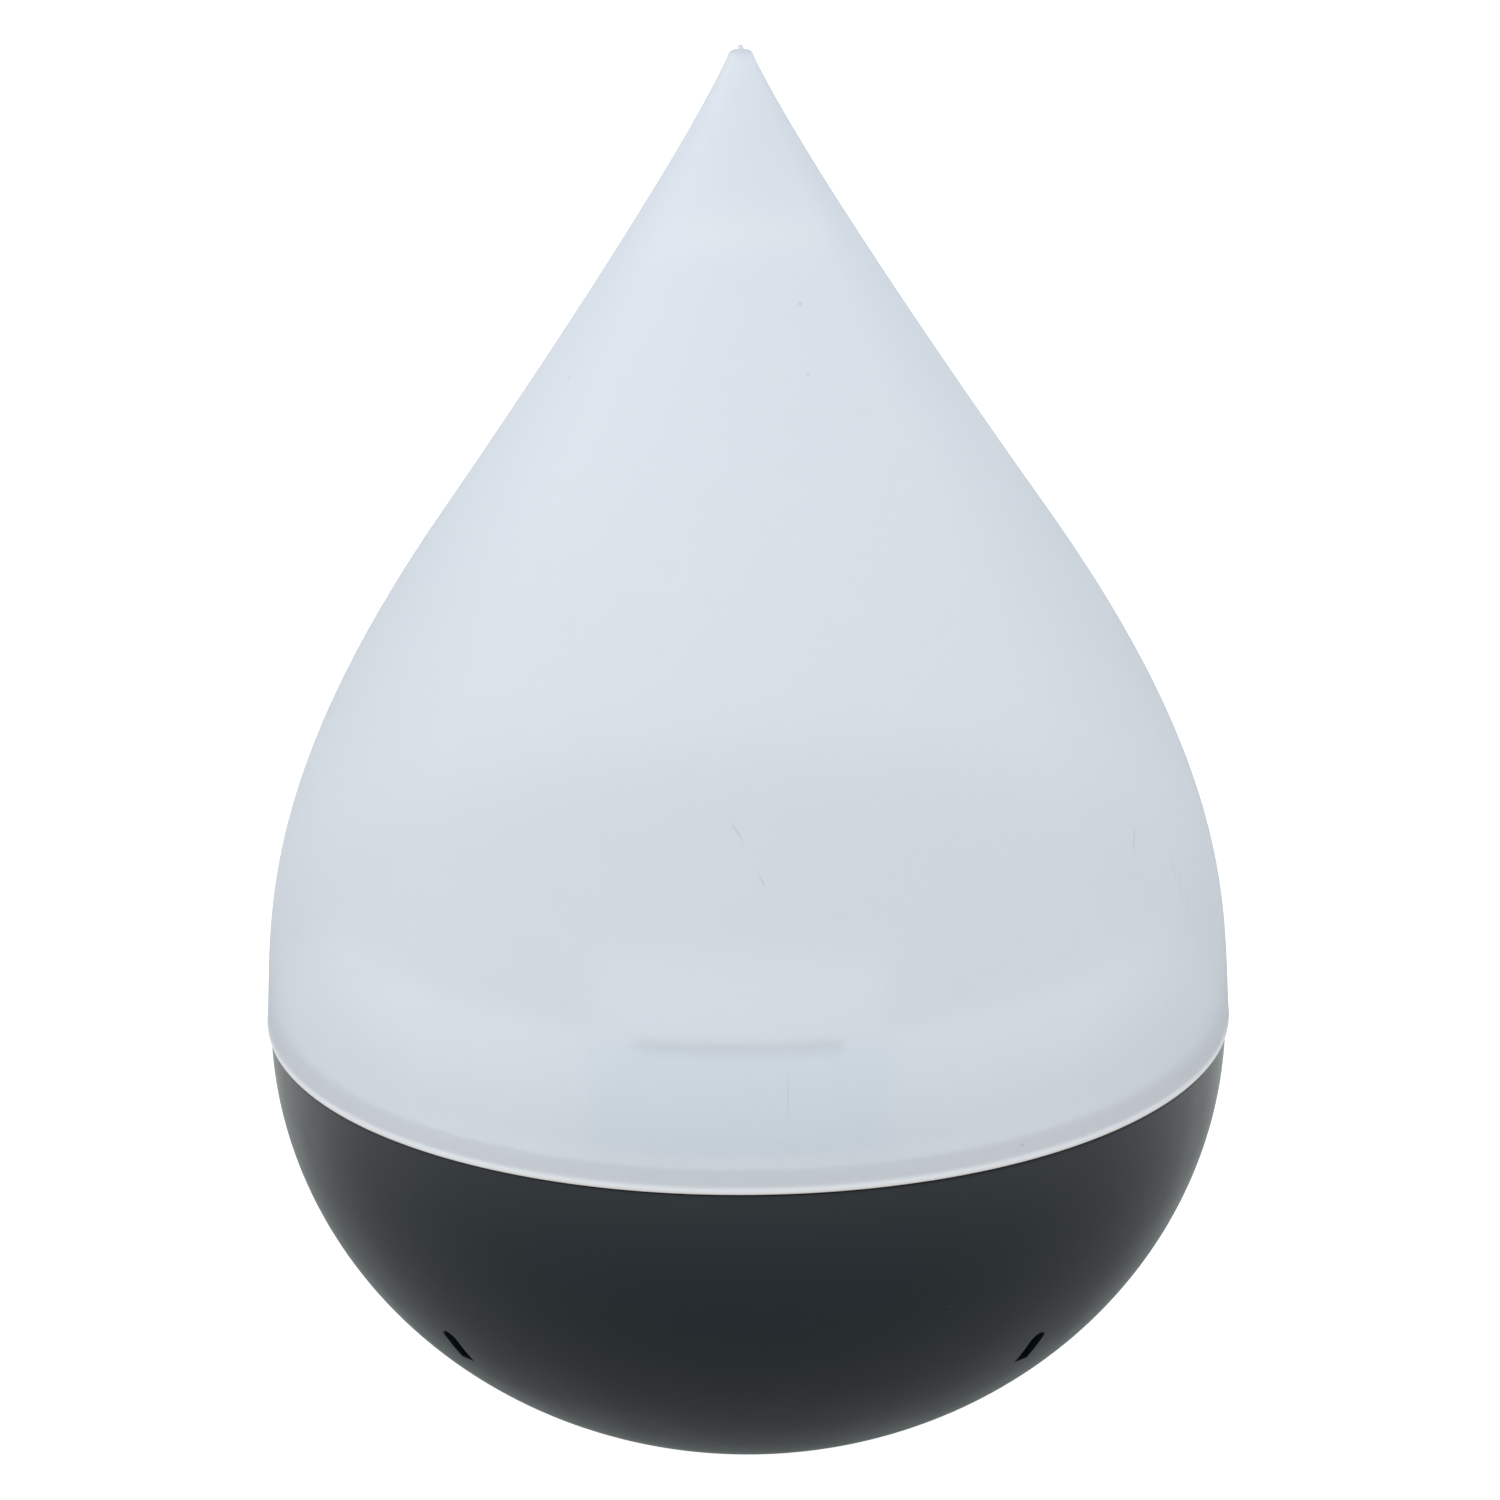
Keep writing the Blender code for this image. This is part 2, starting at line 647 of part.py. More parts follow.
def make_fan():
    half = FAN_SIZE / 2
    housing = block(
        "fan_housing", (-half, -half, FAN_Z[0]), (half, half, FAN_Z[1]), black_plastic(), edge=1.5,
    )
    place(housing, 0, FAN_Y)
    bore = drum("cut_fan_bore", FAN_BORE_R, FAN_Z[0] - 1, FAN_Z[1] + 1, steps=32)
    cut(housing, place(bore, 0, FAN_Y))
    hub = place(drum("cut_fan_hub", FAN_HUB_R, FAN_Z[0], ROTOR_Z[0] - GAP, steps=20), 0, FAN_Y)
    join(housing, hub)
    for i in range(3):
        strut = block(f"cut_fan_strut_{i + 1}", (7, -1.2, FAN_Z[0] + 0.1), (19.2, 1.2, ROTOR_Z[0] - 0.5))
        join(housing, place(strut, 0, FAN_Y, 0, 0, math.radians(90 + 120 * i)))
    for i, (x, y) in enumerate(fan_screw_places()):
        cut(housing, place(drum(f"cut_fan_hole_{i + 1}", 1.9, 30, 60, steps=12), x, y))
        screw(f"fan_screw_{i + 1}", x, y, FAN_Z[0] - GAP, 55.5, 2.8, 2.2, 1.4)


def make_rotor():
    low, high = ROTOR_Z
    profile = [(0, high), (ROTOR_HUB_R - 0.8, high), (ROTOR_HUB_R, high - 0.8), (ROTOR_HUB_R, low), (0, low)]
    rotor = place(turned("fan_rotor", profile, black_plastic(), 20), 0, FAN_Y)
    middle = Vector(((ROTOR_HUB_R - 0.8 + ROTOR_R) / 2, 0, (low + high) / 2)) * MM
    length = (ROTOR_R - ROTOR_HUB_R + 0.6) * MM
    for i in range(BLADES):
        bm = bmesh.new()
        bmesh.ops.create_cube(bm, size=1.0)
        bmesh.ops.scale(bm, vec=(length, BLADE_CHORD * MM, BLADE_THICKNESS * MM), verts=bm.verts)
        bmesh.ops.rotate(bm, matrix=Matrix.Rotation(BLADE_PITCH, 3, "X"), verts=bm.verts)
        bmesh.ops.translate(bm, vec=middle, verts=bm.verts)
        blade = add_object(f"cut_blade_{i + 1}", mesh_from("blade", bm))
        join(rotor, place(blade, 0, FAN_Y, 0, 0, math.tau * i / BLADES))


# ---------------------------------------------------------------- main board


def make_main_board():
    half_x, half_y = BOARD_SIZE[0] / 2, BOARD_SIZE[1] / 2
    low = (BOARD_CENTRE[0] - half_x, BOARD_CENTRE[1] - half_y, BOARD_Z)
    high = (BOARD_CENTRE[0] + half_x, BOARD_CENTRE[1] + half_y, BOARD_TOP_Z)
    board = block("main_board", low, high, board_green())
    for i, (x, y) in enumerate(BOARD_HOLES):
        cut(board, place(drum(f"cut_board_hole_{i + 1}", 1.4, 20, 35, steps=12), x, y))
        screw(f"board_screw_{i + 1}", x, y, BOARD_Z - GAP, 36.5, 2.2, 1.6, 1.0)


def make_heatsink():
    fins, fin, pitch = 5, 1.6, 3.6
    back, root, tip = 0.0, 3.0, 15.0
    outline = [(back, 0.0)]
    for i in range(fins):
        y = i * pitch
        if i:
            outline.append((root, y))
        outline += [(tip, y), (tip, y + fin)]
        if i < fins - 1:
            outline.append((root, y + fin))
    outline.append((back, (fins - 1) * pitch + fin))
    height = 16.0
    sink = flat_outline("heatsink", outline, height, aluminium())
    place(sink, -11, 54, BOARD_TOP_Z + GAP + height / 2, 0, math.pi)


def make_components():
    seat = BOARD_TOP_Z + GAP
    make_heatsink()
    block("transistor", (-10.7, 41, seat + 1), (-6.2, 51, seat + 16), black_plastic(), edge=0.5)
    can = [(0, seat + 12), (4.4, seat + 12), (5, seat + 11.4), (5, seat), (0, seat)]
    place(turned("capacitor", can, black_plastic(), 16), 6, 54)
    coil = [
        (0, seat + 9), (5.5, seat + 9), (5.5, seat + 7.5), (4.2, seat + 7.5),
        (4.2, seat + 1.5), (5.5, seat + 1.5), (5.5, seat), (0, seat),
    ]
    place(turned("inductor", coil, brass(), 16), 6, 41)
    long_side, short_side = 7.4, 6.0
    sockets = {
        "fan_connector": (21.5, 42.5, short_side, long_side),
        "button_connector": (21.5, 51.0, short_side, long_side),
        "piezo_connector": (-4.0, 33.5, long_side, short_side),
        "jack_connector": (-4.0, 58.0, long_side, short_side),
    }
    for name, (x, y, wide, deep) in sockets.items():
        low = (x - wide / 2, y - deep / 2, seat)
        high = (x + wide / 2, y + deep / 2, seat + CONNECTOR_H)
        block(name, low, high, white_plastic(), edge=0.4)


# ---------------------------------------------------------------- power socket


def make_jack():
    """A round panel socket pushed in from outside and held by a nut, with its centre pin on a plug behind."""
    flange_r, bore_r, pin_r = 5.8, 2.75, 1.0
    outer = JACK_POCKET_Y + GAP
    sleeve = [
        (bore_r, outer + 1.5), (flange_r - 0.4, outer + 1.5), (flange_r, outer + 1.1), (flange_r, outer),
        (JACK_THREAD_R, outer), (JACK_THREAD_R, JACK_BACK_Y), (bore_r, JACK_BACK_Y),
    ]
    place(turned("dc_jack", sleeve, black_plastic(), 16), 0, 0, JACK_Z, -math.pi / 2)
    pin = [
        (0, outer + 0.6), (pin_r, outer + 0.2), (pin_r, outer - 8), (bore_r - GAP, outer - 8),
        (bore_r - GAP, JACK_BACK_Y), (0, JACK_BACK_Y),
    ]
    place(turned("jack_pin", pin, steel(), 16), 0, 0, JACK_Z, -math.pi / 2)
    high = JACK_PLATE_Y - GAP
    nut = drum("jack_nut", JACK_NUT_R, high - JACK_NUT_H, high, steel(), 6)
    cut(nut, drum("cut_nut_bore", JACK_THREAD_R + GAP, high - 5, high + 5, steps=20, parent=nut))
    place(nut, 0, 0, JACK_Z, -math.pi / 2)


# ---------------------------------------------------------------- button group


def button_axis():
    """An empty on the bowl's outer wall whose Z axis points straight out of the wall."""
    radius = bowl_radius(BUTTON_Z)
    below = SEAM_Z - BOWL_CENTRE_DROP - BUTTON_Z
    drop = math.atan2(below / BOWL_SEMI_H ** 2, radius / BOWL_R ** 2)
    axis = add_object("button_axis", None)
    return place(axis, 0, radius, BUTTON_Z, -math.pi / 2 - drop)


def make_button(bowl, axis):
    """The button, its switch and board, and the status light, all along the button's own axis.

    In this frame +Z points out of the wall and +Y points down it.
    """
    board_top = -BUTTON_BOARD_DEPTH
    board_low = board_top - BUTTON_BOARD_THICKNESS
    cut(bowl, drum("cut_button_hole", BUTTON_R + 0.4, -12, 10, steps=24, parent=axis))
    light_hole = drum("cut_light_hole", 1.9, -14, 10, steps=12, parent=axis)
    cut(bowl, place(light_hole, 0, -LIGHT_PIPE_UP))
    cap = [
        (0, 1.2), (3.2, 1.05), (BUTTON_R - 0.7, 0.7), (BUTTON_R, 0.1), (BUTTON_R, -3.5),
        (BUTTON_FLANGE_R, -3.5), (BUTTON_FLANGE_R, -4.9), (2, -4.9), (2, -6.5), (0, -6.5),
    ]
    turned("power_button", cap, charcoal(), 16, axis)
    drum("switch_plunger", 1.6, -9.2, -6.8, white_plastic(), 12, axis)
    half = SWITCH_SIZE / 2
    low, high = (-half, -half, board_top + GAP), (half, half, -7.6)
    switch = block("tact_switch", low, high, black_plastic(), parent=axis)
    cut(switch, drum("cut_plunger_hole", 2.0, -10.3, -5, steps=16, parent=axis))
    board = block("button_board", (-16, -14, board_low), (16, 7, board_top), board_green(), parent=axis)
    for i, side in enumerate((-1, 1)):
        x = side * BUTTON_SCREW_X
        cut(board, place(drum(f"cut_button_board_hole_{i + 1}", 1.3, -20, 0, steps=12, parent=axis), x, 0))
        screw(f"button_board_screw_{i + 1}", x, 0, board_low - GAP, -5.5, 1.9, 1.2, 0.9, parent=axis)
    pipe = [(0, 0.5), (1.0, 0.4), (1.5, 0), (1.5, -9.4), (0, -9.4)]
    place(turned("light_pipe", pipe, white_plastic(), 12, axis), 0, -LIGHT_PIPE_UP)
    led = block("status_led", (-1.6, -0.9, board_top + GAP), (1.6, 0.9, -9.7), white_plastic(), parent=axis)
    place(led, 0, -LIGHT_PIPE_UP)


def add_button_posts(bowl, axis):
    """Two posts on the inside of the wall that carry the button board."""
    for i, side in enumerate((-1, 1)):
        x = side * BUTTON_SCREW_X
        post = drum(f"cut_button_post_{i + 1}", 2.6, -BUTTON_BOARD_DEPTH + GAP, -1.8, steps=12, parent=axis)
        join(bowl, place(post, x, 0))
        bore = drum(f"cut_button_post_bore_{i + 1}", 1.2, -20, -4.2, steps=12, parent=axis)
        cut(bowl, place(bore, x, 0))


# ---------------------------------------------------------------- leads


def smooth_points(route, per_span):
    """Points on a Catmull-Rom curve through the route's own points."""
    ends = [route[0] * 2 - route[1]] + route + [route[-1] * 2 - route[-2]]
    found = []
    for p0, p1, p2, p3 in zip(ends, ends[1:], ends[2:], ends[3:]):
        for k in range(per_span):
            t = k / per_span
            found.append(
                (p1 * 2 + (p2 - p0) * t + (p0 * 2 - p1 * 5 + p2 * 4 - p3) * t ** 2
                 + (p1 * 3 - p0 - p2 * 3 + p3) * t ** 3) / 2
            )
    return found + [route[-1]]


def lead(name, route):
    """A round two-core lead along a route inside the base."""
    curve = bpy.data.curves.new(name, "CURVE")
    curve.dimensions = "3D"
    curve.bevel_depth = LEAD_R * MM
    curve.bevel_resolution = 2
    curve.use_fill_caps = True
    points = smooth_points([Vector(p) * MM for p in route], 2)
    spline = curve.splines.new("POLY")
    spline.points.add(len(points) - 1)
    for point, place_at in zip(spline.points, points):
        point.co = (*place_at, 1.0)
    add_object(name, curve, black_plastic())


def make_leads():
    plug_z = BOARD_TOP_Z + GAP + CONNECTOR_H + GAP
    lead("fan_lead", [
        (20.4, -48, 44.2), (24, -48, 44), (31, -40, 42.5), (36, -24, 41.5), (37.5, -5, 41), (37, 15, 41),
        (33.5, 32, 41), (28, 40.5, 40.5), (22.5, 42.5, 39.5), (21.5, 42.5, plug_z),
    ])
    lead("piezo_lead", [
        (0, 0, 46.3), (0, 0, 43), (-2, 2, 40.5), (-6, 7, 39), (-10, 15, 38.5), (-11, 24, 38.5),
        (-8, 31, 39.3), (-4.5, 33.4, 38.8), (-4, 33.5, plug_z),
    ])
    lead("jack_lead", [
        (0, 65.7, JACK_Z), (0, 63.5, 38.4), (-2, 60.5, 39.6), (-3.8, 58.4, 38.9), (-4, 58, plug_z),
    ])
    lead("button_lead", [
        (8, 83.3, 59.8), (8, 83.2, 57), (9, 82.8, 52), (12, 79, 46.5), (14, 71, 43.5), (15, 62, 42),
        (17.8, 54.5, 40.8), (21.3, 51.2, 39), (21.5, 51, plug_z),
    ])


# ---------------------------------------------------------------- the object


def shade_round_pieces():
    """Settles each piece's mesh and shades it smooth up to the edges that are really sharp."""
    depsgraph = bpy.context.evaluated_depsgraph_get()
    for obj in parts.objects:
        if obj.type != "MESH":
            continue
        mesh = bpy.data.meshes.new_from_object(obj.evaluated_get(depsgraph))
        mesh.shade_smooth()
        mesh.set_sharp_from_angle(angle=SMOOTH_ANGLE)
        obj.modifiers.clear()
        obj.data = mesh


def main():
    start_scene()
    make_cover()
    bowl = make_bowl()
    axis = button_axis()
    add_button_posts(bowl, axis)
    make_feet_and_body_screws()
    make_reservoir()
    make_hood()
    make_piezo()
    make_float()
    make_fan()
    make_rotor()
    make_main_board()
    make_components()
    make_jack()
    make_button(bowl, axis)
    make_leads()
    shade_round_pieces()


main()
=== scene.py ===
"""The looks of a cool mist humidifier with a teardrop cover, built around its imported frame.

Sizes are millimetres, heights are above the table, and MM turns them into metres. The front faces -Y.
The button, the power socket and the mist outlet are at the back, on the +Y side.
"""

import json
import math

import bmesh
import bpy
from mathutils import Matrix, Vector


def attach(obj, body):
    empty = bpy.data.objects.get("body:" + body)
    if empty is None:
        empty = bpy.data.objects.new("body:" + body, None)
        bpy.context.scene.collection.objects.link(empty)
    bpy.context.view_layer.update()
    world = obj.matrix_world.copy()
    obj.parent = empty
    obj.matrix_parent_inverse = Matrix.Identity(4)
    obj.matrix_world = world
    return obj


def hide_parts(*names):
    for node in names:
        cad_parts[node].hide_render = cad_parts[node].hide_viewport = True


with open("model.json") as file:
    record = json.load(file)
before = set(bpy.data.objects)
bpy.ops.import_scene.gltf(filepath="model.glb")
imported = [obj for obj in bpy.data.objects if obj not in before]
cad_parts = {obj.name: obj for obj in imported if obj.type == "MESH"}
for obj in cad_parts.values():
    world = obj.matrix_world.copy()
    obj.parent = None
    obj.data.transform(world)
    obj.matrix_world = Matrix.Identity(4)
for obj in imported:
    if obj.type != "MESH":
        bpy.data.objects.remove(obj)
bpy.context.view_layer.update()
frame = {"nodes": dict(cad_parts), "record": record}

MM = 0.001
GAP = 0.3
SEAM_Z = 86.0
LARGE = 192  # segments of the large turned pieces
MEDIUM = 96
SMALL = 48
SHARP_ANGLE = 38.0  # degrees between two faces that makes their edge sharp

# Cover
COVER_RIM_R = 100.6
COVER_WALL = 2.0
COVER_TIP = (2.7, 205.45)  # radius, and height over the seam
COVER_SHOULDER = (63.2, 107.1)
OUTLET_H = 160.0  # over the seam
OUTLET_WIDTH = 26.0
OUTLET_LENGTH = 14.0
OUTLET_TILT = math.radians(31.5)
OUTLET_AXIS_R = 28.5

# Bowl
BOWL_R = 99.85
BOWL_SEMI_H = 90.4
BOWL_CENTRE_Z = SEAM_Z - 0.43
BOWL_WALL = 2.5
BOWL_FLAT_Z = 1.5
LIP_R = 97.5
LIP_INSIDE_R = 95.0
LIP_H = 3.6
SEAT_Z = SEAM_Z - 1.8
SEAT_INSIDE_R = 92.0
SLOT_WIDTH = 3.7
SLOT_Z = (31.5, 39.5)
SLOT_FLOOR_SLOPE = 0.6
SLOT_REACH = (98.0, 72.0)  # from and to this distance from the axis
SLOT_ANGLES = (-45, -135, 45, 135)
POST_CIRCLE_R = 24.0
BOSS_R = 4.6
BOSS_TOP_Z = 12.0
SCREW_HOLE_R = 1.7
COUNTERBORE_R = 3.4
COUNTERBORE_TOP_Z = 7.5
FOOT_R = 5.5
FOOT_TOP_Z = 2.2
SCREW_TIP_Z = 24.0
SCREW_SHANK_R = 1.2
SCREW_HEAD_R = 2.9
SCREW_HEAD_H = 2.0

# Reservoir
TANK_FLOOR_Z = 49.5
TANK_INSIDE_Z = 52.0
TANK_TOP_Z = 112.0
TANK_R = 82.0
TANK_INSIDE_R = 79.8
FLANGE_R = LIP_INSIDE_R - GAP
FLANGE_Z = (84.5, 87.0)
DUCT_HALF_WIDTH = 26.4
DUCT_WALL = 2.2
DUCT_BACK_Y = -37.8
DUCT_TOP_Z = 106.0
DUCT_HOLE_R = 16.5
FAN_Y = -57.0
FAN_SCREW_OFFSET = 16.0
BOARD_Y = 46.0
BOARD_SCREW_X, BOARD_SCREW_Y = 24.0, 13.0
PIEZO_HOLE_R = 8.5
RETAINER_CIRCLE_R = 15.2
FLOAT_X, FLOAT_Y = 45.0, 15.0
FLOAT_POST_TOP_Z = 80.0

# Air hood
HOOD_HALF_WIDTH = 28.7
HOOD_WALL = 2.0
HOOD_BACK_Y = -35.5
HOOD_BOTTOM_Z = 88.4
HOOD_TOP_Z = 113.6
HOOD_EDGE = 1.6
HOOD_SLOT_HALF_WIDTH = 20.5
HOOD_SLOT_Z = (108.9, 111.1)

# Back of the bowl
JACK_Z = 38.0
JACK_POCKET_R = 8.5
JACK_POCKET_Y = 78.5
JACK_PLATE_Y = 75.7
JACK_BOSS_R = 10.5
JACK_HOLE_R = 4.3
JACK_THREAD_R = 3.9
BUTTON_Z = 64.0
BUTTON_R = 6.0
LIGHT_PIPE_UP = 10.5
LIGHT_PIPE_R = 1.5
BUTTON_SCREW_X = 13.0

MARK_DEPTH = 40.0  # half the depth, along Y, that a mark reaches through

# Tones, and the cover's mix: the share that scatters light through it, and the share that is seen through
COVER_MILK = (0.875, 0.935, 0.995)
COVER_EDGE_TONE = (0.69, 0.685, 0.665)
# The tip tone and the limb tone are painted shade: the cover a touch darker near its tip, and darker towards
# its outline as the surface turns from view.
COVER_TIP_SHADE = (0.86, 0.915, 0.97)
COVER_LIMB_SHADE = (0.73, 0.79, 0.86)
COVER_TRANSLUCENT = 0.33
COVER_CLEAR = 0.24
COVER_CLEAR_HIGH = 0.05
COVER_CLEAR_ROUGHNESS = 0.68
COVER_CLEAR_IOR = 1.17
CHARCOAL = (0.0045, 0.0110, 0.0155)
TANK_WHITE = (0.97, 0.948, 0.93)
HOOD_TOP_TONE = (0.82, 0.82, 0.82)
# The apron tone is painted shade: the hood darker and bluer below its slot than above it.
HOOD_APRON_SHADE = (0.64, 0.80, 0.90)

# Floor: its tone and how bright the camera sees it; its glow near the object and far from it, in metres
FLOOR_HALF = 6000.0
FLOOR_Z = -0.05
FLOOR_TONE = 0.3
FLOOR_SEEN = 0.98
FLOOR_NEAR, FLOOR_FAR = 0.1, 0.38
FLOOR_NEAR_GLOW, FLOOR_FAR_GLOW = 0.22, 1.0

# Surround: how strong its light is on each side
WORLD_LEFT, WORLD_RIGHT = 1.2, 0.88
WORLD_FRONT, WORLD_BACK = 0.9, 1.07
WORLD_UP = 0.85

# Camera: places in metres, lens and sensor in millimetres, turns in degrees
CAMERA_EYE = (0.0, -1.4917, 0.6648)
CAMERA_AIM = (0.0, 0.0, 0.161)
CAMERA_LENS, CAMERA_SENSOR = 183.14, 36.0
CAMERA_AZIMUTH = 1.4
CAMERA_PAN, CAMERA_TILT, CAMERA_ROLL = -0.029, -0.584, -0.45


# ---------------------------------------------------------------- shapes, as (points, faces)


def rounded(points, closed=False, steps=5):
    """The line through (x, y) points, with an arc where a point carries a radius as its third value."""
    line = []
    count = len(points)
    for i, point in enumerate(points):
        end = not closed and i in (0, count - 1)
        if len(point) == 2 or end:
            line.append(tuple(point[:2]))
            continue
        here = Vector(point[:2])
        before = Vector(points[i - 1][:2]) - here
        after = Vector(points[(i + 1) % count][:2]) - here
        half = before.angle(after) / 2
        reach = min(point[2] / math.tan(half), before.length * 0.49, after.length * 0.49)
        centre = here + (before.normalized() + after.normalized()).normalized() * reach / math.cos(half)
        first = here + before.normalized() * reach - centre
        last = here + after.normalized() * reach - centre
        sweep = first.angle(last)
        for k in range(steps + 1):
            t = k / steps
            at = centre + (first * math.sin((1 - t) * sweep) + last * math.sin(t * sweep)) / math.sin(sweep)
            line.append(tuple(at))
    return line


def turned(profile, segments, ring=False):
    """A solid of revolution about Z. The profile runs down from the axis to the axis, or round a ring."""
    points, faces, rows = [], [], []
    for r, z in profile:
        first = len(points)
        if r < 1e-6:
            rows.append([first] * segments)
            points.append(Vector((0.0, 0.0, z * MM)))
            continue
        rows.append(list(range(first, first + segments)))
        for k in range(segments):
            angle = math.tau * k / segments
            points.append(Vector((r * math.cos(angle), r * math.sin(angle), z)) * MM)
    following = rows[1:] + (rows[:1] if ring else [])
    for upper, lower in zip(rows, following):
        for k in range(segments):
            n = (k + 1) % segments
            corners = list(dict.fromkeys((upper[k], lower[k], lower[n], upper[n])))
            if len(corners) > 2:
                faces.append(corners)
    return points, faces


def loft(*layers):
    """A solid through outlines in X and Y that have the same number of points, each at its height."""
    count = len(layers[0][0])
    points = [Vector((x, y, z)) * MM for outline, z in layers for x, y in outline]
    last = len(points) - count
    faces = [list(range(count)), list(range(last, last + count))]
    for start in range(0, last, count):
        for k in range(start, start + count):
            n = start + (k + 1 - start) % count
            faces.append([k, n, n + count, k + count])
    return points, faces


def prism(outline, low, high):
    """An outline in X and Y, drawn out along Z."""
    return loft((outline, low), (outline, high))


def drum(radius, low, high, segments=SMALL):
    return prism(circle(radius, segments), low, high)


def circle(radius, segments):
    return arc(radius, 0.0, 360.0 * (segments - 1) / segments, segments - 1)


def arc(radius, start, end, steps):
    """Points round the axis from one angle to another, in degrees."""
    return [around(radius, start + (end - start) * k / steps) for k in range(steps + 1)]


def rectangle(x_low, y_low, x_high, y_high, radius=0.0, steps=6):
    corners = [(x_low, y_low), (x_high, y_low), (x_high, y_high), (x_low, y_high)]
    if radius:
        return rounded([(x, y, radius) for x, y in corners], True, steps)
    return corners


def moved(shape, *matrices):
    """The shape after the matrices, the last one first."""
    whole = Matrix.Identity(4)
    for matrix in matrices:
        whole = whole @ matrix
    return [whole @ p for p in shape[0]], shape[1]


def shift(x=0.0, y=0.0, z=0.0):
    return Matrix.Translation(Vector((x, y, z)) * MM)


def turn(degrees, axis="Z"):
    return Matrix.Rotation(math.radians(degrees), 4, axis)


def around(radius, degrees):
    angle = math.radians(degrees)
    return radius * math.cos(angle), radius * math.sin(angle)


def bezier(start, out, back, end, count):
    """Points on a cubic Bezier curve, without its first one."""
    found = []
    for i in range(1, count + 1):
        t = i / count
        weights = ((1 - t) ** 3, 3 * t * (1 - t) ** 2, 3 * t * t * (1 - t), t ** 3)
        found.append(tuple(sum(w * p[k] for w, p in zip(weights, (start, out, back, end))) for k in (0, 1)))
    return found


def offset(line, distance):
    """A turned shape's outer line, moved square to itself towards the axis."""
    made = []
    for i, (r, z) in enumerate(line):
        before, after = line[max(i - 1, 0)], line[min(i + 1, len(line) - 1)]
        run = Vector((after[0] - before[0], after[1] - before[1])).normalized()
        made.append((r + run.y * distance, z - run.x * distance))
    return made


# ---------------------------------------------------------------- objects


def solid(name, *shapes):
    """One object from shapes, with every face outwards."""
    points, faces = [], []
    for shape_points, shape_faces in shapes:
        faces += [[k + len(points) for k in face] for face in shape_faces]
        points += shape_points
    mesh = bpy.data.meshes.new(name)
    mesh.from_pydata(points, [], faces)
    bm = bmesh.new()
    bm.from_mesh(mesh)
    bmesh.ops.recalc_face_normals(bm, faces=bm.faces)
    bm.to_mesh(mesh)
    bm.free()
    obj = bpy.data.objects.new(name, mesh)
    bpy.context.scene.collection.objects.link(obj)
    return obj


def apply_modifiers(obj):
    """Turns the modifiers' result into the object's own mesh."""
    evaluated = obj.evaluated_get(bpy.context.evaluated_depsgraph_get())
    mesh = bpy.data.meshes.new_from_object(evaluated)
    obj.modifiers.clear()
    obj.data = mesh


def combine(obj, operation, *shapes):
    """Adds shapes to an object, takes them away from it, or keeps what they share with it."""
    tool = solid("tool", *shapes)
    mod = obj.modifiers.new("combine", "BOOLEAN")
    mod.operation = operation
    mod.object = tool
    mod.solver = "EXACT"
    apply_modifiers(obj)
    bpy.data.objects.remove(tool)


def cut(obj, *shapes):
    combine(obj, "DIFFERENCE", *shapes)


def join(obj, *shapes):
    combine(obj, "UNION", *shapes)


def taken(obj):
    """The object's shape, as points and faces. The object itself goes."""
    points = [vertex.co.copy() for vertex in obj.data.vertices]
    faces = [list(face.vertices) for face in obj.data.polygons]
    bpy.data.objects.remove(obj)
    return points, faces


def soften(obj, width, segments, angle):
    """Rounds the edges that are sharper than an angle in degrees."""
    bevel = obj.modifiers.new("edges", "BEVEL")
    bevel.width = width * MM
    bevel.segments = segments
    bevel.limit_method = "ANGLE"
    bevel.angle_limit = math.radians(angle)
    apply_modifiers(obj)


def finish_piece(obj, body, slot, *nodes, weighted=False):
    """Shades a piece, gives it its slot's material and lets it stand for CAD nodes on a body."""
    obj.data.shade_smooth()
    obj.data.set_sharp_from_angle(angle=math.radians(SHARP_ANGLE))
    if weighted:
        normals = obj.modifiers.new("normals", "WEIGHTED_NORMAL")
        normals.keep_sharp = True
        apply_modifiers(obj)
    obj.data.materials.clear()
    obj.data.materials.append(materials[slot])
    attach(obj, body)
    if nodes:
        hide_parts(*nodes)


# ---------------------------------------------------------------- materials


def start_material(name):
    """A new material, its node tree and its main shader."""
    made = bpy.data.materials.new(name)
    made.use_nodes = True
    tree = made.node_tree
    return made, tree, tree.nodes["Principled BSDF"]


def place_of(tree):
    """Where a point of the piece is, in metres."""
    return tree.nodes.new("ShaderNodeTexCoord").outputs["Object"]


def noise(tree, scale, detail=3.0, rough=0.55, stretch=None):
    """Noise over the piece; scale is per metre."""
    texture = tree.nodes.new("ShaderNodeTexNoise")
    texture.inputs["Scale"].default_value = scale
    texture.inputs["Detail"].default_value = detail
    texture.inputs["Roughness"].default_value = rough
    where = place_of(tree)
    if stretch:
        mapping = tree.nodes.new("ShaderNodeMapping")
        mapping.inputs["Scale"].default_value = stretch
        tree.links.new(where, mapping.inputs["Vector"])
        where = mapping.outputs["Vector"]
    tree.links.new(where, texture.inputs["Vector"])
    return texture.outputs["Fac"]


def ranged(tree, value, low, high, to_low, to_high, smooth=False):
    """A value carried over from one range to another, and held at its ends."""
    node = tree.nodes.new("ShaderNodeMapRange")
    node.interpolation_type = "SMOOTHSTEP" if smooth else "LINEAR"
    for name, number in (("From Min", low), ("From Max", high), ("To Min", to_low), ("To Max", to_high)):
        node.inputs[name].default_value = number
    tree.links.new(value, node.inputs["Value"])
    return node.outputs["Result"]


def calculated(tree, operation, *values):
    """The result of a Math node on numbers or sockets."""
    node = tree.nodes.new("ShaderNodeMath")
    node.operation = operation
    for socket, value in zip(node.inputs, values):
        if isinstance(value, (int, float)):
            socket.default_value = value
        else:
            tree.links.new(value, socket)
    return node.outputs["Value"]


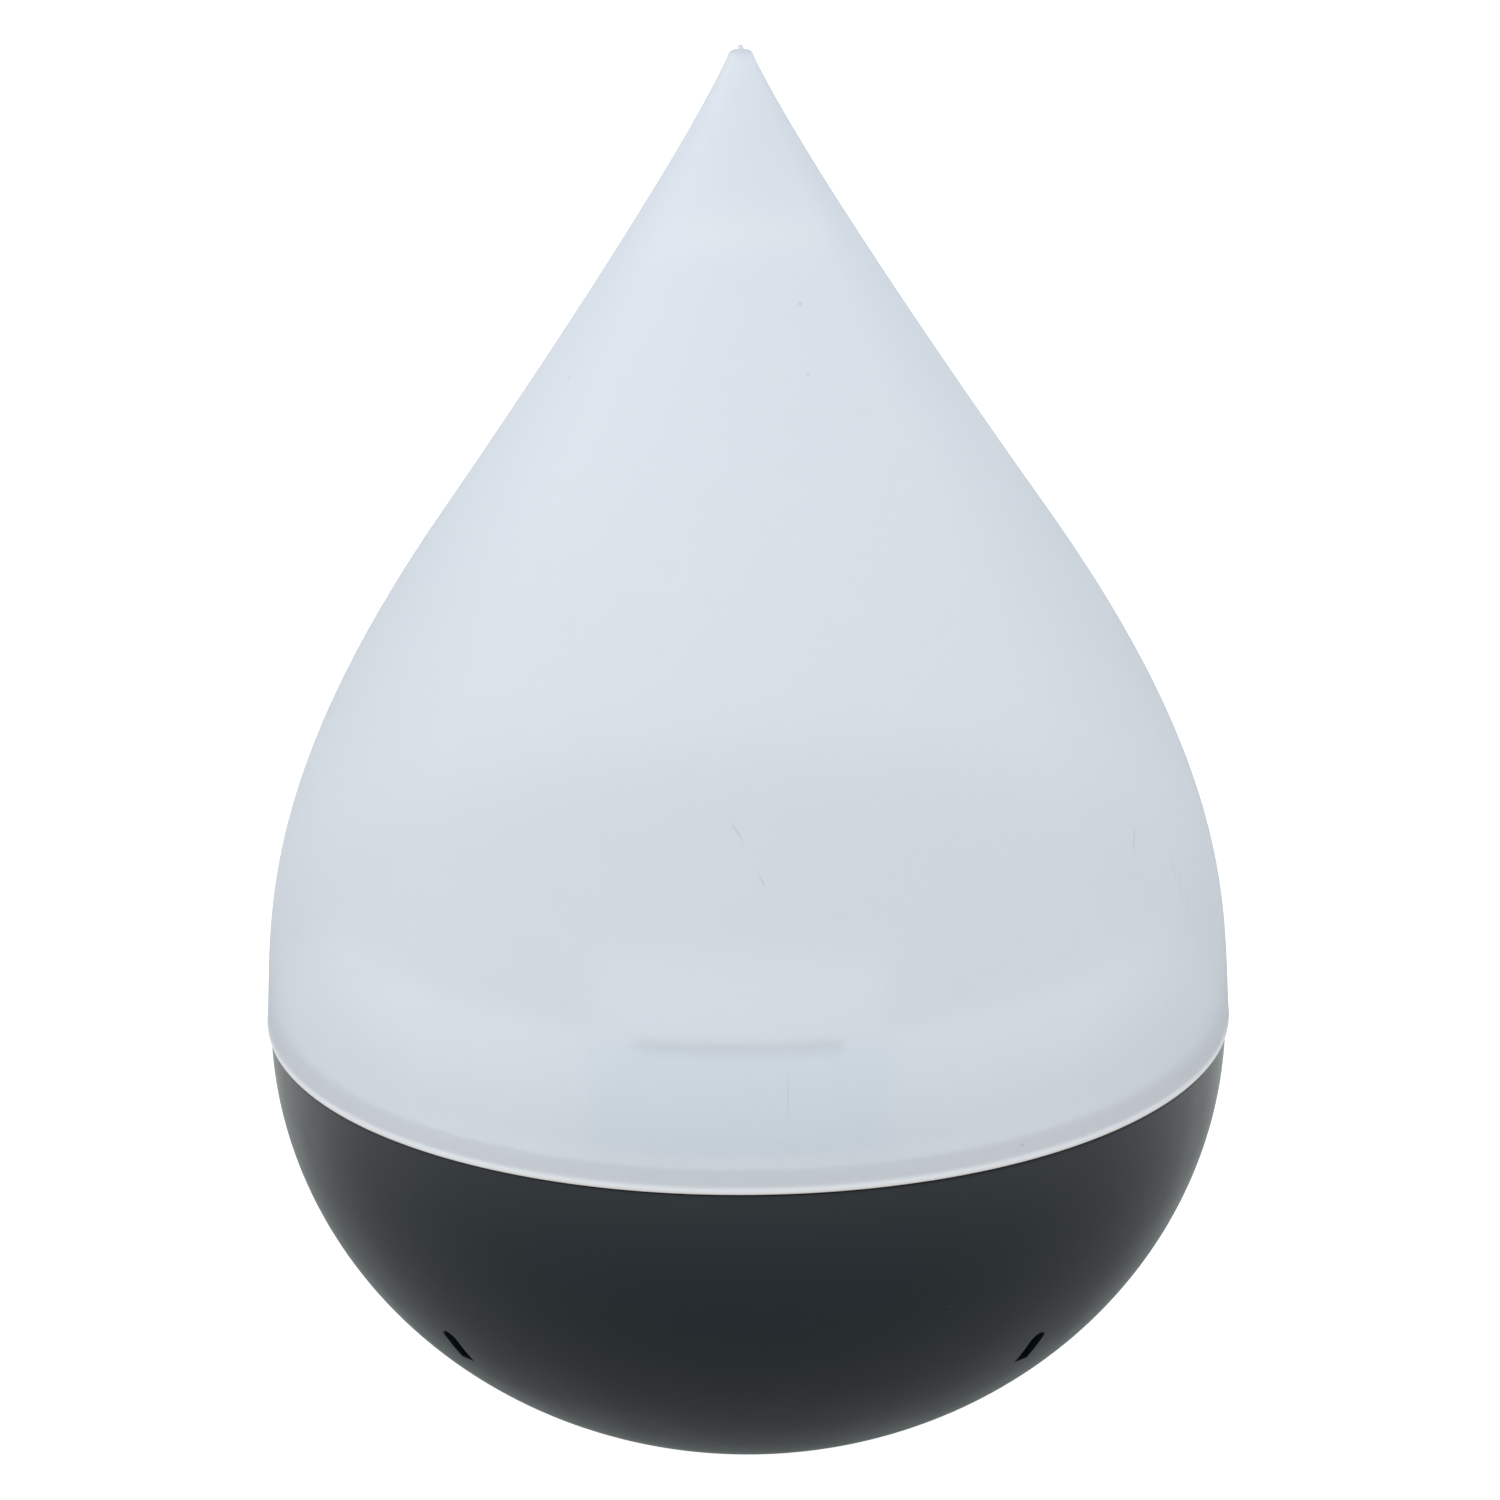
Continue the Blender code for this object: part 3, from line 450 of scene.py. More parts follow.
def mixed(tree, factor, first, second):
    """A colour between two colours or colour sockets."""
    node = tree.nodes.new("ShaderNodeMix")
    node.data_type = "RGBA"
    if isinstance(factor, (int, float)):
        node.inputs["Factor"].default_value = factor
    else:
        tree.links.new(factor, node.inputs["Factor"])
    for socket, colour in ((node.inputs[6], first), (node.inputs[7], second)):
        if isinstance(colour, tuple):
            socket.default_value = (*colour, 1.0)
        else:
            tree.links.new(colour, socket)
    return node.outputs[2]


def bumped(tree, shader, height, distance):
    """A fine relief in the material. The distance is millimetres."""
    bump = tree.nodes.new("ShaderNodeBump")
    bump.inputs["Distance"].default_value = distance * MM
    tree.links.new(height, bump.inputs["Height"])
    tree.links.new(bump.outputs["Normal"], shader.inputs["Normal"])


def uneven_gloss(tree, shader, scale, low, high):
    """A roughness that wanders between two values over the piece."""
    gloss = ranged(tree, noise(tree, scale, 5.0, 0.6), 0.3, 0.7, low, high)
    tree.links.new(gloss, shader.inputs["Roughness"])


def height_of(tree):
    """The height above the table, in metres."""
    split = tree.nodes.new("ShaderNodeSeparateXYZ")
    tree.links.new(place_of(tree), split.inputs["Vector"])
    return split.outputs["Z"]


def blended(tree, share, first, second):
    """A shader between two shaders."""
    node = tree.nodes.new("ShaderNodeMixShader")
    if isinstance(share, float):
        node.inputs["Fac"].default_value = share
    else:
        tree.links.new(share, node.inputs["Fac"])
    tree.links.new(first, node.inputs[1])
    tree.links.new(second, node.inputs[2])
    return node.outputs["Shader"]


def surfaced(tree, surface):
    """Makes a shader the material's surface."""
    tree.links.new(surface, tree.nodes["Material Output"].inputs["Surface"])


def shade(colour, factor):
    """The colour, lighter or darker."""
    return tuple(min(1.0, c * factor) for c in colour)


def specks(tree, cell, radius, share):
    """Sparse round specks: one at most in each cell, in a share of the cells. Sizes are millimetres."""
    cells = tree.nodes.new("ShaderNodeTexVoronoi")
    cells.inputs["Scale"].default_value = 1000.0 / cell
    tree.links.new(place_of(tree), cells.inputs["Vector"])
    split = tree.nodes.new("ShaderNodeSeparateColor")
    tree.links.new(cells.outputs["Color"], split.inputs["Color"])
    chosen = calculated(tree, "LESS_THAN", split.outputs["Red"], share)
    size = ranged(tree, split.outputs["Green"], 0.0, 1.0, 0.4 * radius / cell, radius / cell)
    near = calculated(tree, "LESS_THAN", cells.outputs["Distance"], size)
    return calculated(tree, "MULTIPLY", chosen, near)


def mark(tree, centre, size, tilt=0.0):
    """A soft-edged mark: an ellipsoid of half sizes in X and Z, tilted about Y. Sizes are millimetres."""
    mapping = tree.nodes.new("ShaderNodeMapping")
    mapping.vector_type = "TEXTURE"
    mapping.inputs["Location"].default_value = Vector(centre) * MM
    mapping.inputs["Rotation"].default_value = (0.0, math.radians(tilt), 0.0)
    mapping.inputs["Scale"].default_value = Vector((size[0], MARK_DEPTH, size[1])) * MM
    tree.links.new(place_of(tree), mapping.inputs["Vector"])
    length = tree.nodes.new("ShaderNodeVectorMath")
    length.operation = "LENGTH"
    tree.links.new(mapping.outputs["Vector"], length.inputs[0])
    return ranged(tree, length.outputs["Value"], 0.3, 1.0, 1.0, 0.0, smooth=True)


def strongest(tree, masks):
    """The masks laid over each other."""
    whole = masks[0]
    for other in masks[1:]:
        whole = calculated(tree, "MAXIMUM", whole, other)
    return whole


def moulded(name, colour, roughness, vary=0.05, grain=0.02, grain_scale=1600.0, specular=0.5):
    """A moulded plastic: slightly uneven in tone and gloss, with a fine grain."""
    made, tree, shader = start_material(name)
    tone = noise(tree, 35.0, 4.0)
    toned = mixed(tree, tone, shade(colour, 1 - vary), shade(colour, 1 + vary))
    tree.links.new(toned, shader.inputs["Base Color"])
    uneven_gloss(tree, shader, 60.0, roughness - 0.05, roughness + 0.06)
    shader.inputs["Specular IOR Level"].default_value = specular
    bumped(tree, shader, noise(tree, grain_scale, 2.0), grain)
    return made


def metal(name, colour, roughness, stretch=None):
    """A metal with fine tool marks and patches of duller surface."""
    made, tree, shader = start_material(name)
    shader.inputs["Metallic"].default_value = 1.0
    tone = noise(tree, 90.0, 4.0)
    tree.links.new(mixed(tree, tone, shade(colour, 0.82), shade(colour, 1.1)), shader.inputs["Base Color"])
    dull = ranged(tree, noise(tree, 200.0, 4.0), 0.3, 0.7, roughness - 0.06, roughness + 0.12)
    tree.links.new(dull, shader.inputs["Roughness"])
    bumped(tree, shader, noise(tree, 1800.0, 3.0, 0.6, stretch), 0.01)
    return made


def cover_marks(tree):
    """Scratches, dark specks and a few scribbles on the cover, as one mask."""
    scratches = strongest(tree, [
        mark(tree, (0.2, -85.0, 156.5), (0.25, 3.0), -35.0),
        mark(tree, (5.1, -88.0, 147.7), (0.22, 2.2), -28.0),
        mark(tree, (79.1, -46.0, 140.8), (0.35, 2.8), 4.0),
        mark(tree, (56.4, -83.0, 89.8), (0.6, 0.5)),
        mark(tree, (12.1, -25.0, 247.1), (0.4, 0.4)),
        mark(tree, (13.7, -33.0, 234.8), (0.3, 0.4)),
        mark(tree, (-34.8, -18.0, 229.8), (0.35, 0.3)),
    ])
    scribbles = [
        mark(tree, (87.3 + 1.5 * k, -34.0, 131.4 - 4.3 * k), (0.28, 5.0 - 0.5 * k), -14.0 + 9.0 * k)
        for k in range(5)
    ]
    scribbles.append(mark(tree, (10.1, -98.5, 106.4), (0.22, 7.5)))
    deep = calculated(tree, "MULTIPLY", scratches, 0.42)
    faint = calculated(tree, "MULTIPLY", strongest(tree, scribbles), 0.26)
    return calculated(tree, "MAXIMUM", deep, faint)


def frosted_cover():
    """Milky plastic: mostly scattering, with a little light let through.

    Its moulded edge is plain and pale, and its tip hides what is behind it. Its tip is a touch darker, and
    it darkens towards its outline where the surface turns from view: both are painted shade.
    """
    made, tree, shader = start_material("frosted_plastic")
    tone = mixed(tree, noise(tree, 14.0, 3.0), shade(COVER_MILK, 0.985), shade(COVER_MILK, 1.012))
    marked = mixed(tree, cover_marks(tree), tone, (0.50, 0.55, 0.62))
    dust = calculated(tree, "MULTIPLY", specks(tree, 9.0, 0.5, 0.12), 0.22)
    dusty = mixed(tree, dust, marked, (0.45, 0.48, 0.52))
    uneven_gloss(tree, shader, 45.0, 0.40, 0.50)
    bumped(tree, shader, noise(tree, 1400.0, 2.0), 0.012)
    shader.inputs["Specular IOR Level"].default_value = 0.35
    height = height_of(tree)

    def rising(low, high, start=0.0, end=1.0, smooth=True):
        """From start to end between two heights over the seam."""
        return ranged(tree, height, (SEAM_Z + low) * MM, (SEAM_Z + high) * MM, start, end, smooth)

    # Painted shade: the cover's colour goes a touch darker and bluer towards the tip.
    tip_shaded = mixed(tree, rising(165, 195), dusty, COVER_TIP_SHADE)
    # Painted shade: the colour darkens towards the outline, by how far the surface turns from view.
    facing = tree.nodes.new("ShaderNodeLayerWeight").outputs["Facing"]
    colour = mixed(tree, ranged(tree, facing, 0.3, 1.0, 0.0, 1.0), tip_shaded, COVER_LIMB_SHADE)
    edged = mixed(tree, rising(0.2, 1.4), COVER_EDGE_TONE, colour)
    tree.links.new(edged, shader.inputs["Base Color"])

    through = tree.nodes.new("ShaderNodeBsdfTranslucent")
    tree.links.new(colour, through.inputs["Color"])
    clear = tree.nodes.new("ShaderNodeBsdfRefraction")
    clear.inputs["Color"].default_value = (0.97, 0.985, 1.0, 1.0)
    clear.inputs["Roughness"].default_value = COVER_CLEAR_ROUGHNESS
    clear.inputs["IOR"].default_value = COVER_CLEAR_IOR
    above_edge = calculated(tree, "MULTIPLY", rising(0.3, 2.4), rising(3, 10, 0.8, 1.0, smooth=False))
    scattered = calculated(tree, "MULTIPLY", above_edge, COVER_TRANSLUCENT)
    clear_share = rising(75, 140, COVER_CLEAR, COVER_CLEAR_HIGH)
    seen_through = calculated(tree, "MULTIPLY", above_edge, clear_share)
    milky = blended(tree, scattered, shader.outputs["BSDF"], through.outputs["BSDF"])
    surfaced(tree, blended(tree, seen_through, milky, clear.outputs["BSDF"]))
    return made


def cover_inside():
    """The cover's inner face: the milky plastic is seen through a thin satin skin."""
    made, tree, shader = start_material("frosted_plastic_inside")
    pale = mixed(tree, noise(tree, 14.0, 3.0), (0.84, 0.885, 0.93), (0.88, 0.92, 0.965))
    tree.links.new(pale, shader.inputs["Base Color"])
    uneven_gloss(tree, shader, 45.0, 0.38, 0.48)
    skin = tree.nodes.new("ShaderNodeBsdfTransparent")
    surfaced(tree, blended(tree, 0.9, shader.outputs["BSDF"], skin.outputs["BSDF"]))
    return made


def charcoal():
    """Dark satin plastic with a spark-eroded grain, a little dust, and painted light in one air slot."""
    made, tree, shader = start_material("charcoal_plastic")
    tone = mixed(tree, noise(tree, 22.0, 4.0), shade(CHARCOAL, 0.9), shade(CHARCOAL, 1.12))
    dust = strongest(tree, [specks(tree, 6.0, 0.16, 0.16), specks(tree, 15.0, 0.3, 0.1)])
    # Painted light: a grey patch at the lower end of the front right air slot, where the slot's floor would
    # be lit.
    slot_floor_light = mark(tree, (67.5, -65.0, 33.0), (1.2, 2.0), 40.0)
    dusty = calculated(tree, "MULTIPLY", dust, 0.16)
    slot_floor_light_share = calculated(tree, "MULTIPLY", slot_floor_light, 0.12)
    marks = strongest(tree, [dusty, slot_floor_light_share])
    tree.links.new(mixed(tree, marks, tone, (0.5, 0.52, 0.54)), shader.inputs["Base Color"])
    uneven_gloss(tree, shader, 50.0, 0.30, 0.38)
    shader.inputs["Specular IOR Level"].default_value = 0.34
    shader.inputs["Sheen Weight"].default_value = 0.22
    shader.inputs["Sheen Roughness"].default_value = 0.22
    shader.inputs["Sheen Tint"].default_value = (0.7, 1.0, 0.95, 1.0)
    bumped(tree, shader, noise(tree, 1300.0, 2.0), 0.012)
    return made


def hood_plastic():
    """Pale plastic above the air slot and a blue-grey apron below it: the apron's darker, bluer tone is
    painted shade on the hood's front.
    """
    made, tree, shader = start_material("hood_plastic")
    line = HOOD_SLOT_Z[0]
    above = ranged(tree, height_of(tree), (line - 0.4) * MM, (line + 0.4) * MM, 0.0, 1.0)
    tone = noise(tree, 35.0, 4.0)
    # Painted shade: below the slot the hood turns darker and bluer than above it.
    apron = mixed(tree, tone, shade(HOOD_APRON_SHADE, 0.97), shade(HOOD_APRON_SHADE, 1.03))
    pale = mixed(tree, tone, shade(HOOD_TOP_TONE, 0.98), shade(HOOD_TOP_TONE, 1.02))
    tree.links.new(mixed(tree, above, apron, pale), shader.inputs["Base Color"])
    uneven_gloss(tree, shader, 60.0, 0.34, 0.46)
    bumped(tree, shader, noise(tree, 1600.0, 2.0), 0.012)
    return made


def circuit_board():
    """Green lacquer over copper tracks, with tinned pads."""
    made, tree, shader = start_material("circuit_board")
    tracks = tree.nodes.new("ShaderNodeTexBrick")
    tracks.inputs["Scale"].default_value = 120.0
    tracks.inputs["Mortar Size"].default_value = 0.06
    tree.links.new(place_of(tree), tracks.inputs["Vector"])
    lacquer = mixed(tree, noise(tree, 60.0, 3.0), (0.018, 0.13, 0.055), (0.03, 0.18, 0.08))
    lines = mixed(tree, tracks.outputs["Fac"], lacquer, (0.06, 0.3, 0.13))
    pads = specks(tree, 3.5, 0.8, 0.35)
    tree.links.new(mixed(tree, pads, lines, (0.6, 0.6, 0.56)), shader.inputs["Base Color"])
    tree.links.new(ranged(tree, pads, 0.0, 1.0, 0.32, 0.25), shader.inputs["Roughness"])
    bumped(tree, shader, tracks.outputs["Fac"], 0.03)
    return made


def winding():
    """Enamelled copper wire wound round and round."""
    made, tree, shader = start_material("copper_winding")
    wave = tree.nodes.new("ShaderNodeTexWave")
    wave.bands_direction = "Z"
    wave.inputs["Scale"].default_value = 1000.0
    wave.inputs["Distortion"].default_value = 0.4
    tree.links.new(place_of(tree), wave.inputs["Vector"])
    shader.inputs["Metallic"].default_value = 1.0
    copper = mixed(tree, wave.outputs["Fac"], (0.35, 0.12, 0.04), (0.8, 0.38, 0.18))
    tree.links.new(copper, shader.inputs["Base Color"])
    shader.inputs["Roughness"].default_value = 0.32
    bumped(tree, shader, wave.outputs["Fac"], 0.1)
    return made


def clear_plastic():
    """Clear plastic with a faint haze, for the light pipe, its lamp and the reed switch."""
    made, tree, shader = start_material("clear_plastic")
    haze = noise(tree, 300.0, 3.0)
    tree.links.new(mixed(tree, haze, (0.86, 0.9, 0.92), (0.97, 0.98, 1.0)), shader.inputs["Base Color"])
    tree.links.new(ranged(tree, haze, 0.3, 0.7, 0.12, 0.3), shader.inputs["Roughness"])
    shader.inputs["Transmission Weight"].default_value = 0.6
    return made


def make_materials():
    return {
        "frosted_plastic": frosted_cover(),
        "frosted_plastic_inside": cover_inside(),
        "charcoal_plastic": charcoal(),
        "tank_plastic": moulded("tank_plastic", TANK_WHITE, 0.42, 0.02, 0.012),
        "hood_plastic": hood_plastic(),
        "rubber": moulded("rubber", (0.03, 0.031, 0.032), 0.78, 0.25, 0.04, 900.0, 0.3),
        "steel": metal("steel", (0.60, 0.61, 0.63), 0.28),
        "aluminium": metal("aluminium", (0.70, 0.71, 0.72), 0.38, (1.0, 1.0, 0.15)),
        "brass": metal("brass", (0.78, 0.60, 0.30), 0.28),
        "copper_winding": winding(),
        "float_foam": moulded("float_foam", (0.78, 0.78, 0.76), 0.62, 0.04, 0.12, 700.0, 0.35),
        "white_plastic": moulded("white_plastic", (0.76, 0.76, 0.74), 0.4, 0.02),
        "clear_plastic": clear_plastic(),
        "black_plastic": moulded("black_plastic", (0.018, 0.018, 0.02), 0.46, 0.15, 0.03, 1100.0, 0.4),
        "circuit_board": circuit_board(),
        "lead_insulation": moulded("lead_insulation", (0.025, 0.025, 0.027), 0.5, 0.2, 0.02, 900.0, 0.4),
    }


# ---------------------------------------------------------------- cover


def make_cover():
    """A turned drop with an outlet at the back. The heights in its outline are over the seam."""
    tip = [(0.0, 207.8), (0.45, 207.75), (0.55, 207.5), (0.6, 206.98), (1.0, 206.84), (1.9, 206.62)]
    tip += [(2.35, 206.3), (2.6, 205.9)]
    outer = [COVER_TIP]
    outer += bezier(COVER_TIP, (13.9, 181.0), (53.6, 121.4), COVER_SHOULDER, 40)
    outer += bezier(COVER_SHOULDER, (103.1, 47.8), (98.9, 21.0), (COVER_RIM_R, 0.7), 56)
    rim_r = COVER_RIM_R - COVER_WALL
    bottom = [(COVER_RIM_R - 0.08, 0.35), (COVER_RIM_R - 0.3, 0.1), (COVER_RIM_R - 0.7, 0.0)]
    bottom += [(rim_r + 0.6, 0.0), (rim_r + 0.2, 0.12), (rim_r + 0.03, 0.4)]
    inner = list(reversed(offset(outer, COVER_WALL)[6:-1]))
    inner += [(2.0, 200.4), (0.9, 201.0), (0.0, 201.2)]
    profile = [(r, z + SEAM_Z) for r, z in tip + outer + bottom + inner]
    cover = solid("cover_shell", turned(profile, LARGE))
    half_length, half_width = OUTLET_LENGTH / 2, OUTLET_WIDTH / 2
    pill = rectangle(-half_width, -half_length, half_width, half_length, half_length - 0.01, 16)
    tilt = Matrix.Rotation(OUTLET_TILT - math.pi / 2, 4, "X")
    cut(cover, moved(prism(pill, -8, 8), shift(0, OUTLET_AXIS_R, SEAM_Z + OUTLET_H), tilt))
    soften(cover, 0.45, 3, 50)
    finish_piece(cover, "cover", "frosted_plastic", "mist_cover")
    line_cover(cover)


def line_cover(cover):
    """Gives the inner faces their own finish. The outlet's sides and the bottom edge keep the outer one."""
    cover.data.materials.append(materials["frosted_plastic_inside"])
    outlet = Vector((0.0, OUTLET_AXIS_R, SEAM_Z + OUTLET_H)) * MM
    outlet_axis = Vector((0.0, math.cos(OUTLET_TILT), math.sin(OUTLET_TILT)))
    for face in cover.data.polygons:
        inwards = face.center.x * face.normal.x + face.center.y * face.normal.y < 0 or face.normal.z < -0.7
        near_outlet = (face.center - outlet).length < 0.6 * OUTLET_WIDTH * MM
        outlet_side = near_outlet and abs(face.normal.dot(outlet_axis)) < 0.7
        face.material_index = int(inwards and not outlet_side and face.center.z > (SEAM_Z + 1.0) * MM)


# ---------------------------------------------------------------- bowl


def bowl_line(z_high, z_low, count, wall=0.0):
    """Points down the bowl's wall, evenly spaced round its curve."""
    semi = BOWL_SEMI_H - wall
    high, low = (math.asin((BOWL_CENTRE_Z - z) / semi) for z in (z_high, z_low))
    angles = [high + (low - high) * i / count for i in range(count + 1)]
    return [((BOWL_R - wall) * math.cos(a), BOWL_CENTRE_Z - semi * math.sin(a)) for a in angles]


def button_place():
    """The frame on the bowl's outer wall whose Z axis points straight out and whose Y axis points down."""
    below = BOWL_CENTRE_Z - BUTTON_Z
    radius = BOWL_R * math.sqrt(1 - (below / BOWL_SEMI_H) ** 2)
    drop = math.atan2(below / BOWL_SEMI_H ** 2, radius / BOWL_R ** 2)
    return shift(0, radius, BUTTON_Z) @ Matrix.Rotation(-math.pi / 2 - drop, 4, "X")


def back_place(y, z):
    """The frame at the back whose Z axis points out along +Y."""
    return shift(0, y, z) @ turn(-90, "X")


def slot_outline(radius):
    """An air slot's section at a distance from the axis: a flat bottom and a round top. Y is height."""
    half = SLOT_WIDTH / 2
    bottom = SLOT_Z[0] + SLOT_FLOOR_SLOPE * (bowl_line(*SLOT_Z, 1)[0][0] - radius)
    top = [(x, y + SLOT_Z[1] - half) for x, y in arc(half, 0.0, 180.0, 16)]
    return [(-half, bottom), (half, bottom)] + top


def bowl_bosses():
    """Screw bosses on the floor, the socket's boss within the wall, and two pillars behind the button."""
    bosses = []
    for i in range(4):
        place = shift(*around(POST_CIRCLE_R, 90 * i))
        bosses.append(moved(drum(BOSS_R, BOWL_FLAT_Z + 1, BOSS_TOP_Z), place))
    floor_z = BOWL_FLAT_Z + BOWL_WALL
    inside_wall = [(0.0, SEAT_Z)] + bowl_line(SEAT_Z, floor_z, 60, 1.0) + [(0.0, floor_z)]
    jack_boss = solid("tool_boss", moved(drum(JACK_BOSS_R, 0, 20, 64), back_place(JACK_PLATE_Y, JACK_Z)))
    combine(jack_boss, "INTERSECT", turned(inside_wall, LARGE))
    bosses.append(taken(jack_boss))
    for side in (-1, 1):
        bosses.append(moved(drum(2.6, -11.1, -1.8, 32), button_place(), shift(side * BUTTON_SCREW_X)))
    return bosses


def bowl_holes():
    """Screw holes, foot recesses, air slots, and the openings for the socket, the button and its light."""
    bore = turned(rounded([
        (0.0, 15), (SCREW_HOLE_R, 15), (SCREW_HOLE_R, COUNTERBORE_TOP_Z),
        (COUNTERBORE_R, COUNTERBORE_TOP_Z), (COUNTERBORE_R, 2.1), (4.4, 1), (0, 1),
    ]), SMALL)
    recess = drum(FOOT_R + GAP, 0, BOWL_FLAT_Z + 1.0)
    holes = []
    for i in range(4):
        holes.append(moved(bore, shift(*around(POST_CIRCLE_R, 90 * i))))
        holes.append(moved(recess, shift(*around(POST_CIRCLE_R, 45 + 90 * i))))
    slot = loft(*[(slot_outline(radius), -radius) for radius in SLOT_REACH])
    for degrees in SLOT_ANGLES:
        upright = turn(degrees) @ turn(90) @ turn(90, "X")
        holes.append(moved(slot, upright, turn(180, "Y")))
    pocket = [
        (0.0, 22), (JACK_POCKET_R, 22), (JACK_POCKET_R, 0), (JACK_HOLE_R, 0), (JACK_HOLE_R, -6), (0.0, -6),
    ]
    holes.append(moved(turned(pocket, 64), back_place(JACK_POCKET_Y, JACK_Z)))
    out = button_place()
    holes.append(moved(drum(BUTTON_R + 0.4, -12, 8), out))
    holes.append(moved(drum(LIGHT_PIPE_R + 0.4, -14, 8, 32), out, shift(0, -LIGHT_PIPE_UP)))
    for side in (-1, 1):
        holes.append(moved(drum(1.2, -20, -4.2, 24), out, shift(side * BUTTON_SCREW_X)))
    return holes


def make_bowl():
    top = SEAM_Z - GAP
    lip_top = SEAM_Z + LIP_H
    shoulder_r = BOWL_R * math.sqrt(1 - ((BOWL_CENTRE_Z - top) / BOWL_SEMI_H) ** 2)
    floor_z = BOWL_FLAT_Z + BOWL_WALL
    profile = rounded([
        (LIP_INSIDE_R, SEAT_Z), (LIP_INSIDE_R, lip_top, 0.6), (LIP_R, lip_top, 0.9), (LIP_R, top, 0.2),
        (shoulder_r - 0.55, top), (shoulder_r - 0.2, top - 0.12), (shoulder_r, top - 0.5),
    ])
    profile += bowl_line(top - 0.6, BOWL_FLAT_Z + 0.25, 72)
    profile += [(bowl_line(BOWL_FLAT_Z, BOWL_FLAT_Z, 1)[0][0] - 0.6, BOWL_FLAT_Z), (0.0, BOWL_FLAT_Z)]
    profile += [(0.0, floor_z)] + list(reversed(bowl_line(SEAT_Z - 11, floor_z, 30, BOWL_WALL)))
    profile += [(SEAT_INSIDE_R, SEAT_Z - 3), (SEAT_INSIDE_R, SEAT_Z)]
    bowl = solid("bowl_shell", turned(profile, LARGE, ring=True))
    join(bowl, *bowl_bosses())
    cut(bowl, *bowl_holes())
    soften(bowl, 0.35, 2, 48)
    finish_piece(bowl, "base", "charcoal_plastic", "base_bowl", weighted=True)


def make_feet():
    profile = rounded([
        (0.0, FOOT_TOP_Z), (FOOT_R, FOOT_TOP_Z, 0.3), (FOOT_R, 0.0, 0.9),
        (3.9, 0.0, 0.4), (3.5, 0.35, 0.4), (0.0, 0.35),
    ])
    for i in range(4):
        x, y = around(POST_CIRCLE_R, 45 + 90 * i)
        foot = solid(f"foot_{i + 1}", moved(turned(profile, SMALL), shift(x, y)))
        finish_piece(foot, "base", "rubber", f"rubber_foot_{i + 1}")


def make_body_screws():
    """Four pan-head cross screws driven up from below. Each is drawn with its head's seat at height 0."""
    seat_z = COUNTERBORE_TOP_Z - GAP
    tip = SCREW_TIP_Z - seat_z
    profile = rounded([
        (0.0, tip), (0.25, tip), (SCREW_SHANK_R, tip - 2 * SCREW_SHANK_R), (SCREW_SHANK_R, 0.0, 0.15),
        (SCREW_HEAD_R, 0.0, 0.15), (SCREW_HEAD_R, -SCREW_HEAD_H * 0.55, 0.5),
        (SCREW_HEAD_R * 0.8, -SCREW_HEAD_H, 0.4), (0.0, -SCREW_HEAD_H),
    ])
    arm, half = SCREW_HEAD_R * 0.55, SCREW_HEAD_R * 0.13
    cross = [
        (half, half), (half, arm), (-half, arm), (-half, half), (-arm, half), (-arm, -half),
        (-half, -half), (-half, -arm), (half, -arm), (half, -half), (arm, -half), (arm, half),
    ]
    for i in range(4):
        screw = solid(f"case_screw_{i + 1}", turned(profile, SMALL))
        cut(screw, prism(cross, -SCREW_HEAD_H - 1, -SCREW_HEAD_H * 0.35))
        x, y = around(POST_CIRCLE_R, 90 * i)
        screw.data.transform(shift(x, y, seat_z))
        finish_piece(screw, "base", "steel", f"body_screw_{i + 1}")


# ---------------------------------------------------------------- reservoir and air hood


def front_segment(radius, half_width, back_y, corner):
    """The outline of an upright prism with a flat back, straight sides and a front on a circle."""
    edge = math.asin(half_width / radius)
    angles = [-math.pi / 2 - edge + 2 * edge * k / 40 for k in range(41)]
    front = [(radius * math.cos(a), radius * math.sin(a)) for a in angles]
    front[0] = (*front[0], corner)
    front[-1] = (*front[-1], corner)
    return rounded(front + [(half_width, back_y, corner), (-half_width, back_y, corner)], True)


def tank_pillars():
    """The posts under and inside the tank that hold the screws and the float, and their bores."""
    under = TANK_FLOOR_Z + 1
    pillars, bores = [], []

    def pillar(x, y, radius, low, high, bore_r, bore_low, bore_high):
        pillars.append(moved(drum(radius, low, high, 32), shift(x, y)))
        bores.append(moved(drum(bore_r, bore_low, bore_high, 24), shift(x, y)))

    for i in range(4):
        x, y = around(POST_CIRCLE_R, 90 * i)
        pillar(x, y, 3.6, BOSS_TOP_Z + GAP, under, 1.6, BOSS_TOP_Z - 1, 26)
    for sx in (-1, 1):
        for sy in (-1, 1):
            x, y = sx * FAN_SCREW_OFFSET, FAN_Y + sy * FAN_SCREW_OFFSET
            pillar(x, y, 3.4, under, 58, 1.8, TANK_FLOOR_Z - 1, 56.5)
            x, y = sx * BOARD_SCREW_X, BOARD_Y + sy * BOARD_SCREW_Y
            pillar(x, y, 3.0, 28.9, under, 1.4, 27.5, 38)
    for degrees in (90, 210, 330):
        x, y = around(RETAINER_CIRCLE_R, degrees)
        pillar(x, y, 2.6, 46.6, under, 1.2, 45.0, 50.9)
    pillar(FLOAT_X, FLOAT_Y, 3.5, under, FLOAT_POST_TOP_Z, 1.8, TANK_FLOOR_Z - 1, 70)
    return pillars, bores


